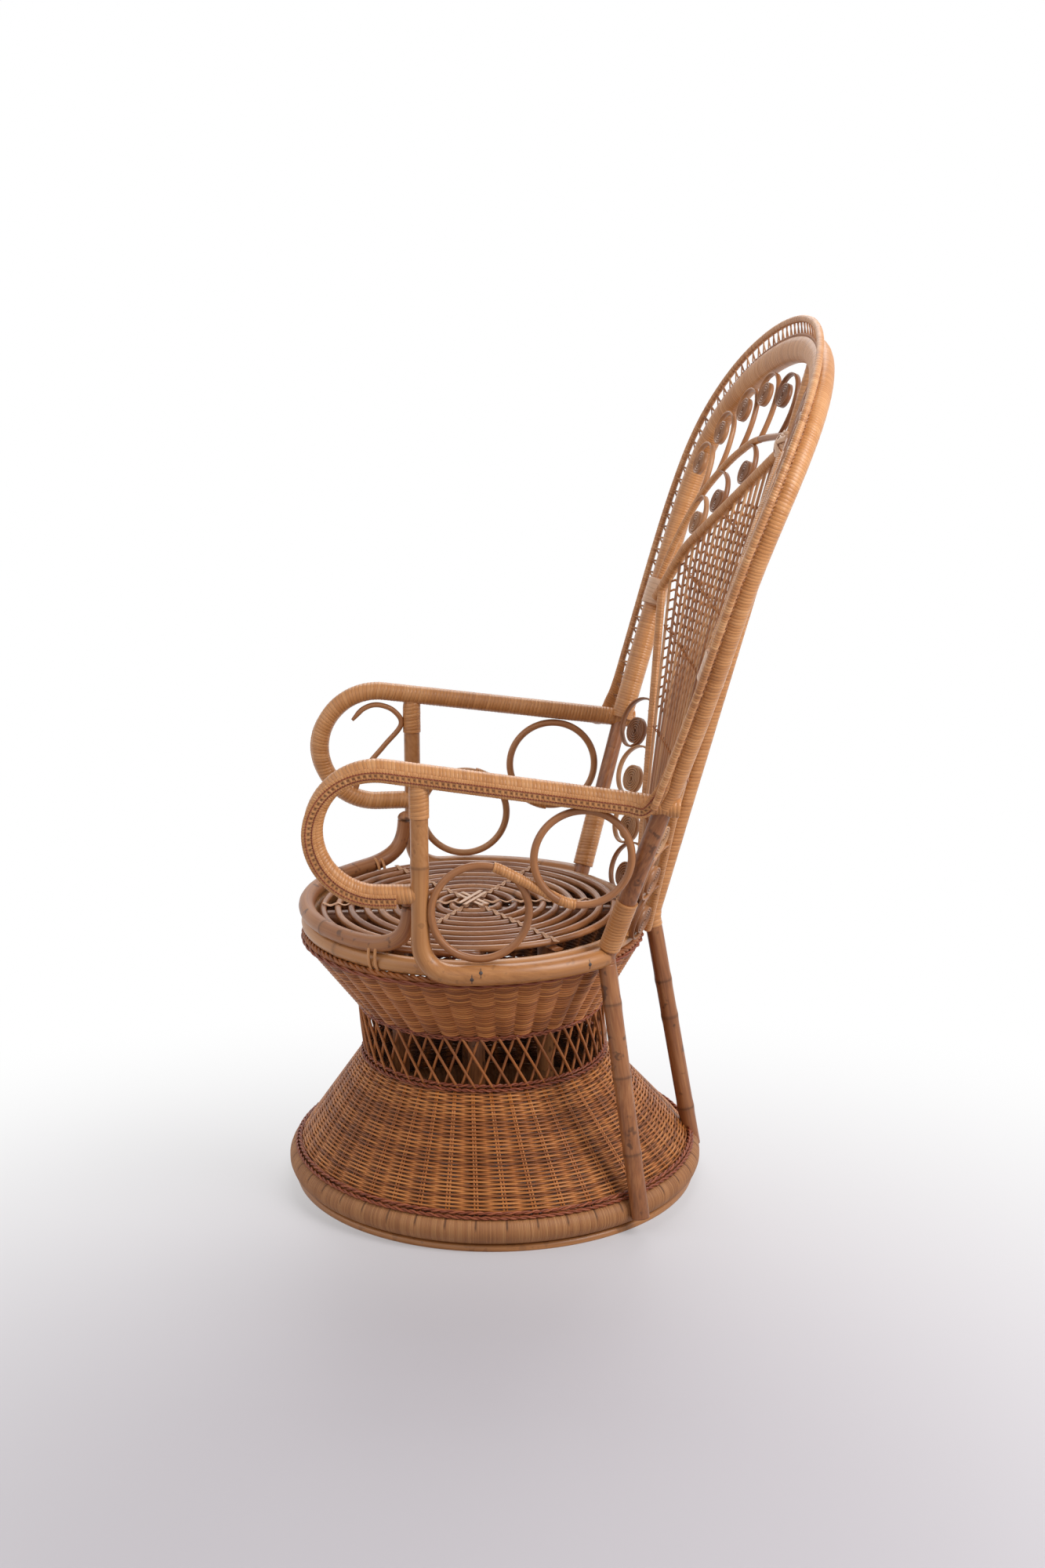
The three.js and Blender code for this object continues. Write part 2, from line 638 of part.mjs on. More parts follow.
// Fan: canes that spread from the seat ring up to the chevron rail
// The chevron falls from its apex to a knee and then runs down beside the hoop
function chevronUp(x) {
  const past = (Math.abs(x) - CHEVRON_KNEE_X) / (CHEVRON_END_X - CHEVRON_KNEE_X);
  return past > 0
    ? lerp(chevronKnee, chevronEnd, past)
    : lerp(chevronApex, chevronKnee, Math.abs(x) / CHEVRON_KNEE_X);
}

const chevronAt = (x) => onDish(x, chevronUp(x));
const chevronStops = [CHEVRON, CHEVRON_KNEE_X, CHEVRON_END_X];
const chevronBody = (grow = 0) => rod([
  ...chevronStops.map((x) => chevronAt(-x)).reverse(),
  ...chevronStops.map(chevronAt),
], CHEVRON + grow, 6, { up: BACK_REAR });
const chevron = fit(chevronBody(), backHoopBody(GAP));

function knotBody(grow = 0) {
  const ball = new THREE.OctahedronGeometry(KNOT + grow, 1);
  return solid(ball.translate(...onBack(0, chevronApex, DISH_DEPTH - KNOT_AHEAD).toArray()));
}

// The fan's foot stands behind the seat ring
function fanFoot(x, radius) {
  const behind = SEAT_RADIUS + SEAT_HOOP + GAP + radius;
  return V(x, SEAT_Y + Math.sqrt(behind ** 2 - x ** 2), SEAT_Z - SEAT_HOOP / 2);
}

const fanSideLine = (side) =>
  [fanFoot(side * FAN_FOOT, FAN_SIDE), chevronAt(side * CHEVRON_END_X * 0.97)];
const fanSideBody = (side, grow = 0) => rod(fanSideLine(side), FAN_SIDE + grow, 6);
const fanSide = (side) =>
  fit(fanSideBody(side), chevronBody(GAP), backHoopBody(GAP), seatHoop(GAP));

function fanPanel() {
  const half = [];
  for (let k = 0; k < FAN_CANES; k++) {
    const low = lerp(SPINE + FAN_CANE + 2 * GAP, 0.82 * FAN_FOOT, k / (FAN_CANES - 1));
    const high = lerp(0.08, 0.97, k / (FAN_CANES - 1)) * CHEVRON_KNEE_X;
    half.push([low, high]);
  }
  const lineAt = (side) => ([low, high]) =>
    [fanFoot(side * low, FAN_CANE), chevronAt(side * high)];
  const lines = [...half.map(lineAt(-1)).reverse(), ...half.map(lineAt(1))];
  const parts = lines.map((line) => rod(line, FAN_CANE, 4));
  FAN_ROWS.forEach((z) => {
    const crossing = lines.filter(([low, high]) => high.z > z + CHEVRON)
      .map(([low, high]) => low.clone().lerp(high, (z - low.z) / (high.z - low.z))
        .addScaledVector(BACK_REAR, -2 * FAN_TWINE));
    const middle = crossing.slice(crossing.length / 2 - 1, crossing.length / 2 + 1);
    parts.push(rod([crossing[0], ...middle, crossing.at(-1)], FAN_TWINE, 3, { up: BACK_REAR }));
  });
  return fit(
    join(parts),
    chevronBody(GAP),
    knotBody(GAP),
    fanSideBody(1, GAP),
    fanSideBody(-1, GAP),
    seatHoop(GAP),
    spineBody(GAP),
  );
}

// Spine: stands on the floor ring, passes between the fan's feet and is tied under the hoop's top
const spineBody = (grow = 0) => rod([
  V(0, SPINE_FOOT, RING_Z),
  V(0, SEAT_Y + SEAT_RADIUS + SEAT_HOOP + GAP + SPINE, SEAT_Z),
  onBack(0, hoopTop - SPINE_TOP_DROP, hoopDish(0) + SPINE_TOP_BEHIND),
], SPINE + grow, 8, { up: ACROSS });

// The dyed band is notched where the spine and the poles come down past it
const baseWale = fit(baseWaleBody(), spineBody(GAP), poleBody(1, GAP), poleBody(-1, GAP));

// Branches: canes that rise between the chevron's ends and the hoop and meet over its apex. Where
// each passes on the way: outward, then down from the hoop's top
const BRANCH_LINE = [[275.3, 358], [262, 304], [236, 248], [192, 199], [150, 166], [104, 142]];

function branchPoints(side) {
  const beside = CHEVRON_END_X + CHEVRON + BRANCH + GAP;
  const curve = new THREE.CatmullRomCurve3([
    onDish(side * beside, chevronEnd),
    ...BRANCH_LINE.map(([out, drop]) => onDish(side * out, hoopTop - drop)),
    onDish(side * 2 * BRANCH, chevronApex + CHEVRON + BRANCH),
  ]);
  return curve.getPoints(14);
}

const branchBody = (side, grow = 0) =>
  rod(branchPoints(side), BRANCH + grow, 6, { up: BACK_REAR });
const branch = (side) => fit(branchBody(side), backHoopBody(GAP), chevronBody(GAP));
const spine = fit(
  spineBody(),
  baseRing(GAP),
  skirt(GAP),
  seatHoop(GAP),
  backHoopBody(GAP),
  chevronBody(GAP),
  branchBody(1, GAP),
  branchBody(-1, GAP),
);
const knot = fit(
  knotBody(),
  chevronBody(GAP),
  branchBody(1, GAP),
  branchBody(-1, GAP),
  spineBody(GAP),
);

// One curl, drawn flat round its coil's centre: the coil winds out, opens into a loop that ends at
// the `open` angle and runs on to the foot. Angles are from the outward axis, and `hand` turns them.
function curlShape(hand, open, loop, foot2, coil = COIL, spread = 1.7) {
  const line = [];
  const start = -90 - COIL_WINDS * 360;
  for (let angle = start; angle <= open + 1; angle += CURL_STEP_ANGLE) {
    const coilRadius = lerp(COIL_HEART, coil, Math.min((angle - start) / (-90 - start), 1));
    const opening = Math.max((angle + 90) / (open + 90), 0);
    const radius = coilRadius + (loop - coil) * opening ** spread;
    const turned = degToRad(hand > 0 ? angle : 180 - angle);
    line.push(new THREE.Vector2(radius * Math.cos(turned), radius * Math.sin(turned)));
  }
  line.push(new THREE.Vector2(...foot2));
  const normalAt = (i) => {
    const before = line[Math.max(i - 1, 0)];
    const after = line[Math.min(i + 1, line.length - 1)];
    const along = after.clone().sub(before).normalize();
    return new THREE.Vector2(-along.y, along.x).multiplyScalar(STRIP / 2);
  };
  const left = line.map((p, i) => p.clone().add(normalAt(i)));
  const right = line.map((p, i) => p.clone().sub(normalAt(i)));
  return new THREE.Shape([...left, ...right.reverse()]);
}

function curlBody(centre, out, up, shape) {
  const across = out.clone().cross(up).normalize();
  const flat = new THREE.ExtrudeGeometry(shape, { depth: STRIP_DEPTH, bevelEnabled: false });
  flat.translate(0, 0, -STRIP_DEPTH / 2);
  flat.applyMatrix4(new THREE.Matrix4().makeBasis(out, up, across).setPosition(centre));
  flat.deleteAttribute('normal');
  flat.deleteAttribute('uv');
  return solid(mergeVertices(flat, 1e-4));
}

const dishOut = (side) => V(side, 0, 0).addScaledVector(BACK_REAR, -DISH_SLOPE).normalize();

function dishCurl(side, hand, open, loop, centre, footAt) {
  const foot2 = [footAt[0] - centre[0], footAt[1] - centre[1]];
  const shape = curlShape(hand, open, loop, foot2);
  const body = curlBody(onDish(side * centre[0], centre[1]), dishOut(side), BACK_UP, shape);
  return fit(body, branchBody(side, GAP), chevronBody(GAP), backHoopBody(GAP));
}

// Where each curl's coil sits on the back and where its stem meets the branch: outward, then down from
// the hoop's top
const TOP_CURLS = [
  { coil: [72, 70], stem: [14, 122] },
  { coil: [140, 79], stem: [78, 132] },
  { coil: [196, 111], stem: [136, 158] },
  { coil: [250, 155], stem: [188, 197] },
  { coil: [288, 209], stem: [226, 236] },
];
const LOW_CURLS = [
  { out: 98, stem: [124, 152] },
  { out: 160, stem: [188, 195] },
  { out: 212, stem: [243, 260] },
];
const chevronLean = Math.atan2(chevronApex - chevronKnee, CHEVRON_KNEE_X);
const lowCoilUp = (x) => chevronUp(x)
  + (CHEVRON + GAP + COIL + STRIP / 2) / Math.cos(chevronLean);

const hung = ([out, drop]) => [out, hoopTop - drop];
const topCurl = (side, { coil, stem }) =>
  dishCurl(side, 1, 180, TOP_LOOP, hung(coil), hung(stem));
const lowCurl = (side, { out, stem }) =>
  dishCurl(side, -1, 90, LOW_LOOP, [out, lowCoilUp(out)], hung(stem));

// Side curls: a stack of loops between the fan's edge and the rear pole, each tied to the next
function sideCurls(side) {
  const [low, high] = fanSideLine(side);
  const along = high.clone().sub(low).normalize();
  const polePoint = poleAt(ARM_REAR_Z);
  polePoint.x *= side;
  const outward = polePoint.sub(low);
  outward.addScaledVector(along, -outward.dot(along)).normalize();
  const length = high.distanceTo(low);
  const parts = [];
  for (let k = 0; k < SIDE_CURLS; k++) {
    const centre = low.clone()
      .addScaledVector(along, SIDE_CURL_TOP * length - k * SIDE_CURL_PITCH)
      .addScaledVector(outward, SIDE_CURL_OFFSET);
    const stem = [-SIDE_CURL_OFFSET, SIDE_LOOP * 0.45];
    const shape = curlShape(1, 135, SIDE_LOOP, stem, SIDE_COIL, 1);
    parts.push(curlBody(centre, outward, along, shape));
  }
  return fit(
    join(parts),
    fanSideBody(side, GAP),
    poleBody(side, GAP),
    armBody(side, GAP),
    seatHoop(GAP),
  );
}

// Finishes
const weave = { color: 0xb98350, roughness: 0.75 };
const wrapped = { color: 0xc98f4f, roughness: 0.6 };
const bamboo = { color: 0xb58a55, roughness: 0.5 };
const dyed = { color: 0x8f5038, roughness: 0.75 };

const chair = new THREE.Group();
chair.name = 'peacock_chair';

function section(name) {
  const group = new THREE.Group();
  group.name = name;
  chair.add(group);
  return (piece, body, finish) => {
    const geometry = geometryOf(body);
    geometry.computeVertexNormals();
    const mesh = new THREE.Mesh(geometry, new THREE.MeshStandardMaterial({ metalness: 0, ...finish }));
    mesh.name = piece;
    group.add(mesh);
  };
}

const SIDES = [['left', 1], ['right', -1]];

const pedestal = section('pedestal');
pedestal('floor_hoop', floorHoop, bamboo);
pedestal('base_ring', baseRing(), wrapped);
pedestal('base_wale', baseWale, dyed);
pedestal('skirt', skirt(), weave);
pedestal('neck_lattice', neckLattice, dyed);
pedestal('bowl', bowl(), weave);
pedestal('bowl_border', bowlBorder, weave);
pedestal('inner_post_front', innerPost(0, SEAT_Y - INNER_POST_REACH, longRailBody(GAP), SEAT_Z), bamboo);
pedestal('inner_post_rear', innerPost(0, SEAT_Y + INNER_POST_REACH, longRailBody(GAP), SEAT_Z), bamboo);
pedestal('inner_post_left', innerPost(INNER_POST_REACH, SEAT_Y, crossRailBody(GAP), crossRailZ), bamboo);
pedestal('inner_post_right', innerPost(-INNER_POST_REACH, SEAT_Y, crossRailBody(GAP), crossRailZ), bamboo);

const seat = section('seat');
seat('seat_hoop', seatHoop(), bamboo);
seat('front_cane', frontCane(), bamboo);
seat('seat_rail_long', longRail, bamboo);
seat('seat_rail_cross', crossRail, bamboo);
seat('seat_coil', seatCoil, bamboo);
seat('seat_lashing', join(LASHING_ANGLES.map(lashing)), weave);

const sides = section('sides');
SIDES.forEach(([name, side]) => {
  sides(`side_rail_${name}`, sideRail(side), bamboo);
  sides(`arm_${name}`, arm(side), wrapped);
  sides(`arm_trim_${name}`, armTrim(side), weave);
  sides(`arm_scroll_${name}`, scroll(side), bamboo);
  sides(`rear_pole_${name}`, pole(side), bamboo);
  sides(`pole_wrap_${name}`, poleWrap(side), wrapped);
});
sides('loop_hook_right', loopHook(-1), bamboo);

const back = section('back');
back('back_hoop', backHoop, wrapped);
back('trim_lace', trimLace(), weave);
back('spine', spine, wrapped);
back('fan_chevron', chevron, wrapped);
back('fan_panel', fanPanel(), weave);
back('fan_knot', knot, wrapped);
SIDES.forEach(([name, side]) => {
  back(`fan_side_${name}`, fanSide(side), wrapped);
  back(`branch_${name}`, branch(side), wrapped);
  back(`side_curls_${name}`, sideCurls(side), bamboo);
  TOP_CURLS.forEach((curl, k) => back(`top_curl_${name}_${k + 1}`, topCurl(side, curl), bamboo));
  LOW_CURLS.forEach((curl, k) => back(`low_curl_${name}_${k + 1}`, lowCurl(side, curl), bamboo));
});

// The frame's origin is under the middle of the whole chair
const box = new THREE.Box3().setFromObject(chair);
chair.position.y = -(box.min.y + box.max.y) / 2;

export default chair;
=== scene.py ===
# %% [markdown]
# # A rattan peacock chair
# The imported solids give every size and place. This lesson dresses them: woven walls are made of
# real strands, poles are wound with real turns of cane, and the curls are real spirals. All of it
# is numpy arithmetic on whole arrays, so one formula makes thousands of strands at once.

# %% Load the frame
import bpy
import numpy as np
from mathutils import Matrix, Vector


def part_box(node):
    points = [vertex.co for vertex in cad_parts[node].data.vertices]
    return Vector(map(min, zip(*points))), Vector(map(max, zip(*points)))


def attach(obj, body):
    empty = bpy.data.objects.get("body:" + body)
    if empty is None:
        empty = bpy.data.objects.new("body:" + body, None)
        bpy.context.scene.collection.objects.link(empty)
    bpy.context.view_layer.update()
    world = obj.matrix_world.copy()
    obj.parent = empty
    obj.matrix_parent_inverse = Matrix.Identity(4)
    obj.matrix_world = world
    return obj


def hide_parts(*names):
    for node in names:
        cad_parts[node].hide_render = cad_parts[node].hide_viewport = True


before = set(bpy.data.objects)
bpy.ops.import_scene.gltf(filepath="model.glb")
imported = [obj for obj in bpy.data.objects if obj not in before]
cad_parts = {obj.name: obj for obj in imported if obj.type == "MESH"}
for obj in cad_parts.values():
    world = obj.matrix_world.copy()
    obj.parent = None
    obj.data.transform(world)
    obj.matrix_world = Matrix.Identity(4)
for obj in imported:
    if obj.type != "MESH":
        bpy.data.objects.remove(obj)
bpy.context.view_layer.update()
print("solids loaded:", len(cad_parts))

# %% [markdown]
# ## Units and lines
# A maker measures a chair in millimetres from the middle of its base ring, so the shapes below do
# too. `to_frame` turns those into metres in the shared frame. A cane is a line with a section
# carried along it, so the next helpers round a line off, measure along it, and find which way is
# out at each point.

# %% Units and line helpers
MM = 0.001
ring_low, ring_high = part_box("base_ring")
PEDESTAL_Y = (ring_low.y + ring_high.y) / 2 / MM
TURN = 2 * np.pi
SIDES = (("left", 1), ("right", -1))
UP = np.array([0.0, 0.0, 1.0])
ACROSS = np.array([1.0, 0.0, 0.0])
rng = np.random.default_rng(7)


def to_frame(points):
    """Millimetres about the base ring become metres: add the ring's place, then times 0.001."""
    return (np.asarray(points, float) + (0, PEDESTAL_Y, 0)) * MM


def unit(v):
    """Each vector divided by its own length."""
    return v / np.linalg.norm(v, axis=-1, keepdims=True)


def mix(a, b, share):
    """a + (b - a) * share."""
    return a + (b - a) * share


def eased(share):
    """3 s^2 - 2 s^3: starts and ends gently."""
    return share**2 * (3 - 2 * share)


def quadratic(start, corner, end, t):
    """From start towards the corner, then to the end: weights (1-t)^2, 2t(1-t) and t^2."""
    return (1 - t) ** 2 * start + 2 * t * (1 - t) * corner + t**2 * end

# %% Rounding and measuring a line
def smooth(points, steps):
    """A rounded line through every point; each span blends its four nearest by cubic weights."""
    p = np.asarray(points, float)
    p = np.vstack([2 * p[0] - p[1], p, 2 * p[-1] - p[-2]])
    t = np.linspace(0, 1, steps, endpoint=False)[None, :, None]
    a, b, c, d = p[:-3, None], p[1:-2, None], p[2:-1, None], p[3:, None]
    line = 2 * b + (c - a) * t
    line = line + (2 * a - 5 * b + 4 * c - d) * t**2 + (3 * b - a - 3 * c + d) * t**3
    return np.vstack([line.reshape(-1, p.shape[1]) / 2, p[-2]])


def reach_of(path, loop=False):
    """Distance from the start at each point: a running sum of the steps, closed for a loop."""
    path = np.concatenate([path, path[..., :1, :]], -2) if loop else path
    steps = np.linalg.norm(np.diff(path, axis=-2), axis=-1)
    return np.concatenate([np.zeros(steps.shape[:-1] + (1,)), np.cumsum(steps, -1)], -1)


def spaced(path, count):
    """The same line cut into count points at equal distances."""
    reach = reach_of(path)
    stops = np.linspace(0, reach[-1], count)
    return np.stack([np.interp(stops, reach, path[:, k]) for k in range(3)], -1)


def frames(path, up, loop=False):
    """Along = step between neighbours; lift = guide made square to it; side = along x lift."""
    if loop:
        along = np.roll(path, -1, -2) - np.roll(path, 1, -2)
    else:
        along = np.gradient(path, axis=-2)
    along = unit(along)
    guide = np.broadcast_to(up, path.shape)
    lift = unit(guide - (guide * along).sum(-1, keepdims=True) * along)
    return lift, np.cross(along, lift)


def circle(radius, y, z, count):
    """x = radius cos t, y = centre + radius sin t, at one height."""
    t = np.arange(count) / count * TURN
    return np.stack([radius * np.cos(t), y + radius * np.sin(t), np.full(count, float(z))], -1)


def ring(a, b, sides):
    """An oval section: a cos t along the lift, b sin t along the side."""
    t = np.arange(sides) / sides * TURN
    return np.stack([a * np.cos(t), b * np.sin(t)], -1)


print("pedestal stands at y =", round(PEDESTAL_Y, 1), "mm")

# %% [markdown]
# ## Skins
# Blender could sweep a bevel along a curve, but then each strand is an object of its own. Here a
# skin is a block of points numbered by strand, step and corner, so a whole wall of weave is one
# array. Two numbers ride on every point for the finishes: `tone`, how pale this strand is, and a
# darkening: real stain at knots and along the scroll canes, painted shade in grooves, slits, holes
# and behind stakes, and a darker heart in each curl.

# %% Skins from strands
def skin(at, reach, loop=False, tone=0.5, stain_and_shade=0.0):
    """Holds points [strand, step, corner] with their distance along and their tone and shade."""
    shape = at.shape[:3]
    spread = lambda v: np.broadcast_to(np.reshape(v, np.shape(v) + (1,) * (3 - np.ndim(v))), shape)
    return {"at": at, "reach": reach, "loop": loop, "tone": spread(tone), "stain_and_shade": spread(stain_and_shade)}


def strands(paths, outline, up, loop=False, tone=None, stain_and_shade=0.0):
    """A section carried along many lines at once: point = line + a * lift + b * side."""
    paths = np.asarray(paths, float)
    paths = paths[None] if paths.ndim == 2 else paths
    lift, side = frames(paths, up, loop)
    outline = np.asarray(outline, float)
    outline = np.broadcast_to(outline, paths.shape[:2] + outline.shape[-2:])
    at = paths[:, :, None] + outline[..., :1] * lift[:, :, None]
    at = at + outline[..., 1:] * side[:, :, None]
    tone = rng.random(len(paths)) if tone is None else tone
    return skin(at, reach_of(paths, loop) * MM, loop, tone, stain_and_shade)

# %% From skins to pieces
def corner_arrays(part, first):
    """Quads between each step and the next, then a flat cap on every open end, with their uv."""
    k, n, m = part["at"].shape[:3]
    index = first + np.arange(k * n * m).reshape(k, n, m)
    spans = n if part["loop"] else n - 1
    here, there = index[:, :spans], np.roll(index, -1, 1)[:, :spans]
    quads = np.stack([here, np.roll(here, -1, 2), np.roll(there, -1, 2), there], -1)
    u = np.broadcast_to(part["reach"], (k, part["reach"].shape[-1]))
    u0 = np.broadcast_to(u[:, :spans, None], (k, spans, m))
    u1 = np.broadcast_to(u[:, 1:spans + 1, None], (k, spans, m))
    v0 = np.broadcast_to(np.arange(m) / m, (k, spans, m))
    v1 = v0 + 1 / m
    uv = np.stack([u0, v0, u0, v1, u1, v1, u1, v0], -1)
    corners, sizes, uvs = [quads.ravel()], [np.full(k * spans * m, 4)], [uv.reshape(-1, 2)]
    if not part["loop"]:
        caps = np.stack([index[:, 0, ::-1], index[:, -1]], 1)
        ends = np.stack([u[:, 0], u[:, -1]], 1)[:, :, None, None]
        corners.append(caps.ravel())
        sizes.append(np.full(2 * k, m))
        flat = np.concatenate([ends, ends * 0 + 0.5], -1)
        uvs.append(np.broadcast_to(flat, (k, 2, m, 2)).reshape(-1, 2))
    return np.concatenate(corners), np.concatenate(sizes), np.concatenate(uvs)


made = {}


def make(name, parts, finish, nodes=()):
    """Puts skins into one mesh, rides it on the chair and lets it stand for the named solids."""
    firsts = np.concatenate([[0], np.cumsum([p["at"][..., 0].size for p in parts])]).astype(int)
    arrays = [corner_arrays(p, f) for p, f in zip(parts, firsts)]
    corners, sizes, uv = (np.concatenate([a[k] for a in arrays]) for k in range(3))
    mesh = bpy.data.meshes.new(name)
    mesh.vertices.add(firsts[-1])
    at = np.concatenate([p["at"].reshape(-1, 3) for p in parts])
    mesh.vertices.foreach_set("co", to_frame(at).astype(np.float32).ravel())
    mesh.loops.add(len(corners))
    mesh.loops.foreach_set("vertex_index", corners.astype(np.int32))
    mesh.polygons.add(len(sizes))
    mesh.polygons.foreach_set("loop_start", (np.cumsum(sizes) - sizes).astype(np.int32))
    mesh.polygons.foreach_set("use_smooth", sizes == 4)
    mesh.update(calc_edges=True)
    mesh.uv_layers.new(name="strand").uv.foreach_set("vector", uv.astype(np.float32).ravel())
    for attribute in ("tone", "stain_and_shade"):
        values = np.concatenate([p[attribute].ravel() for p in parts])
        layer = mesh.attributes.new(attribute, "FLOAT", "POINT")
        layer.data.foreach_set("value", values.astype(np.float32))
    mesh.materials.append(finish)
    piece = bpy.data.objects.new(name, mesh)
    bpy.context.scene.collection.objects.link(piece)
    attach(piece, "root")
    if nodes:
        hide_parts(*nodes)
    made[name] = int((sizes - 2).sum())
    print(name, made[name], "triangles")


def dress(solid, suffix, parts, finish):
    """The usual case: one piece that stands for one solid and is named after it."""
    make(f"{solid}_{suffix}", parts, finish, [solid])


# %% [markdown]
# ## Winding
# Most poles of this chair are wound with flat cane. A bump map would vanish at the outline, so
# each turn is modelled: four rings a turn climb out of the groove, over the strip's rounded edges
# and back. Turns differ a little in width, height and tone, and lean as a helix does.

# %% Wound poles
PHASES = np.array([0.0, 0.14, 0.5, 0.86])
HUMPS = np.array([0.0, 0.88, 1.0, 0.88])
GROOVE_SHADE, HELIX_LEAN = 0.4, 0.45
WIDTH_VARIES, HEIGHT_VARIES = 0.1, 0.12


def wound(path, a, b, pitch, up, loop=False, proud=0.45, sides=14, girth=None):
    """Reach of a ring = size - proud * (1 - hump of its phase), leant by HELIX_LEAN * pitch."""
    path = np.asarray(path, float)
    lift, side = frames(path, up, loop)
    reach = reach_of(path, loop)
    total = reach[-1]
    closed = (lambda v: np.vstack([v, v[:1]])) if loop else (lambda v: v)
    turns = max(int(round(total / pitch)), 2)
    widths = 1 + WIDTH_VARIES * np.clip(rng.standard_normal(turns), -2, 2)
    widths *= total / widths.sum()
    starts = np.cumsum(widths) - widths
    stops = (starts[:, None] + widths[:, None] * PHASES).ravel()
    heights = 1 + HEIGHT_VARIES * np.clip(rng.standard_normal(turns), -2, 2)
    hump = (heights[:, None] * HUMPS).ravel()
    tone = np.repeat(rng.random(turns), len(PHASES))
    if not loop:
        stops, hump, tone = np.append(stops, total), np.append(hump, 0), np.append(tone, tone[-1])
    t = np.arange(sides) / sides * TURN
    fade = 1.0 if loop else np.clip(np.minimum(stops, total - stops) / (2 * pitch), 0, 1)[:, None]
    places = stops[:, None] + fade * HELIX_LEAN * pitch * np.sin(t)
    places = places % total if loop else np.clip(places, 0, total)
    on = lambda v: np.stack([np.interp(places, reach, closed(v)[:, k]) for k in range(3)], -1)
    scale = 1.0 if girth is None else girth(stops / total)[:, None]
    drop = proud * (1 - hump)[:, None]
    out = on(path) + ((a * scale - drop) * np.cos(t))[..., None] * on(lift)
    out = out + ((b * scale - drop) * np.sin(t))[..., None] * on(side)
    ends = np.append(stops, total) if loop else stops
    # Painted shade: the groove between turns is darkened, by GROOVE_SHADE at most.
    stain_and_shade = np.maximum(1 - hump * 1.4, 0) * GROOVE_SHADE
    return skin(out[None], ends[None] * MM, loop, tone[None], stain_and_shade[None])


# %% [markdown]
# Bare poles are grown, not turned: every so often a node swells the stem and leaves a dark ring.
# The knots are Gaussian bumps along the length, on the radius and on the stain alike. A rope is a
# few thin canes that circle one line.

# %% Bare poles and ropes
KNOT_SWELL, KNOT_RING, KNOT_HALO = 7.0, 1.8, 14.0


def bare(path, radius, up, knots=(), loop=False, sides=16, stain=0.0, swell=0.06, tone=None):
    """radius = size * (1 + swell * bells at the knots); the stain follows a narrower bell."""
    path = np.asarray(path, float)
    reach = reach_of(path)
    off = reach[:, None] - np.asarray(knots, float)
    bell = lambda width: np.exp(-((off / width) ** 2)).sum(-1)
    size = np.broadcast_to(radius, len(path)) * (1 + swell * bell(KNOT_SWELL))
    stain_and_shade = 0.5 * bell(KNOT_RING) + 0.1 * bell(KNOT_HALO) + stain
    outline = ring(1, 1, sides)[None, None] * size[None, :, None, None]
    tone = np.interp(reach, [0, reach[-1]], rng.random(2)) if tone is None else tone
    return strands(path, outline, up, loop, tone=np.broadcast_to(tone, (1, len(path))),
                   stain_and_shade=stain_and_shade[None])


def twist(line, count, wrap_radius, turns, radius, up, loop=True):
    """Strands of a rope: each circles the line, wrap_radius from it, turns times, evenly spaced."""
    lift, side = frames(line, up, loop)
    steps = len(line)
    share = np.arange(steps) / (steps if loop else steps - 1)
    angle = (share * turns * TURN + np.arange(count)[:, None] / count * TURN)[..., None]
    paths = line + wrap_radius * (np.cos(angle) * lift + np.sin(angle) * side)
    return strands(paths, ring(radius, radius, 6), up, loop)


# %% [markdown]
# ## Finishes
# Varnished cane has three scales of colour: strand against strand, fibres that run along each
# strand, and slow patches where light has bleached it. One node recipe serves every finish: tone,
# a stretched noise on the strand's own uv and a broad noise on Object coordinates are added and
# read through a ramp, then real stain at knots and painted shade in grooves darken it. The same
# fibres lift the roughness and the bump.

# %% One recipe for cane
def feed(tree, fed, inputs):
    """Outputs of other nodes are linked to a node's inputs; numbers and colours are set on them."""
    for socket, value in inputs.items():
        if isinstance(value, bpy.types.NodeSocket):
            tree.links.new(value, fed.inputs[socket])
        else:
            fed.inputs[socket].default_value = value


def node(tree, kind, inputs, **settings):
    """A new shader node with its settings and inputs; gives back its outputs."""
    fresh = tree.nodes.new("ShaderNode" + kind)
    for name, value in settings.items():
        setattr(fresh, name, value)
    feed(tree, fresh, inputs)
    return fresh.outputs


def arithmetic(tree, operation, first, second):
    """A Math node on two values."""
    return node(tree, "Math", {0: first, 1: second}, operation=operation)[0]


def added(tree, *values):
    """A chain of Math nodes that adds the values up."""
    summed = values[0]
    for value in values[1:]:
        summed = arithmetic(tree, "ADD", summed, value)
    return summed


def times(tree, value, by):
    """value * by."""
    return arithmetic(tree, "MULTIPLY", value, by)


def clamped(tree, value, top=1.0):
    """Kept between 0 and top."""
    return arithmetic(tree, "MINIMUM", arithmetic(tree, "MAXIMUM", value, 0.0), top)


def noise(tree, vector, scale, detail, rough=0.5):
    """A Noise node read at a vector, 0 to 1."""
    inputs = {"Vector": vector, "Scale": scale, "Detail": detail, "Roughness": rough}
    return node(tree, "TexNoise", inputs)["Fac"]


def ramp(tree, fac, stops):
    """A Color Ramp through (place, colour) stops."""
    fresh = tree.nodes.new("ShaderNodeValToRGB")
    elements = fresh.color_ramp.elements
    for _ in range(len(stops) - 2):
        elements.new(0.5)
    for element, (place, colour) in zip(elements, stops):
        element.position = place
        element.color = (*colour, 1)
    feed(tree, fresh, {0: fac})
    return fresh.outputs[0]


def blend(tree, fac, first, second):
    """A Mix node from a linked colour to a fixed one."""
    return node(tree, "Mix", {"Factor": fac, 6: first, 7: (*second, 1)}, data_type="RGBA")[2]


STRAND_SHIFT = 37.0
PATCH_SCALE, PATCH_SHARE = 11.0, 0.35
SPECK_SCALE, SPECK_FROM, SPECK_EDGE = 60.0, 0.62, 9.0
FIBRE_ROUGH, STAIN_AND_SHADE_ROUGH = 0.22, 0.2


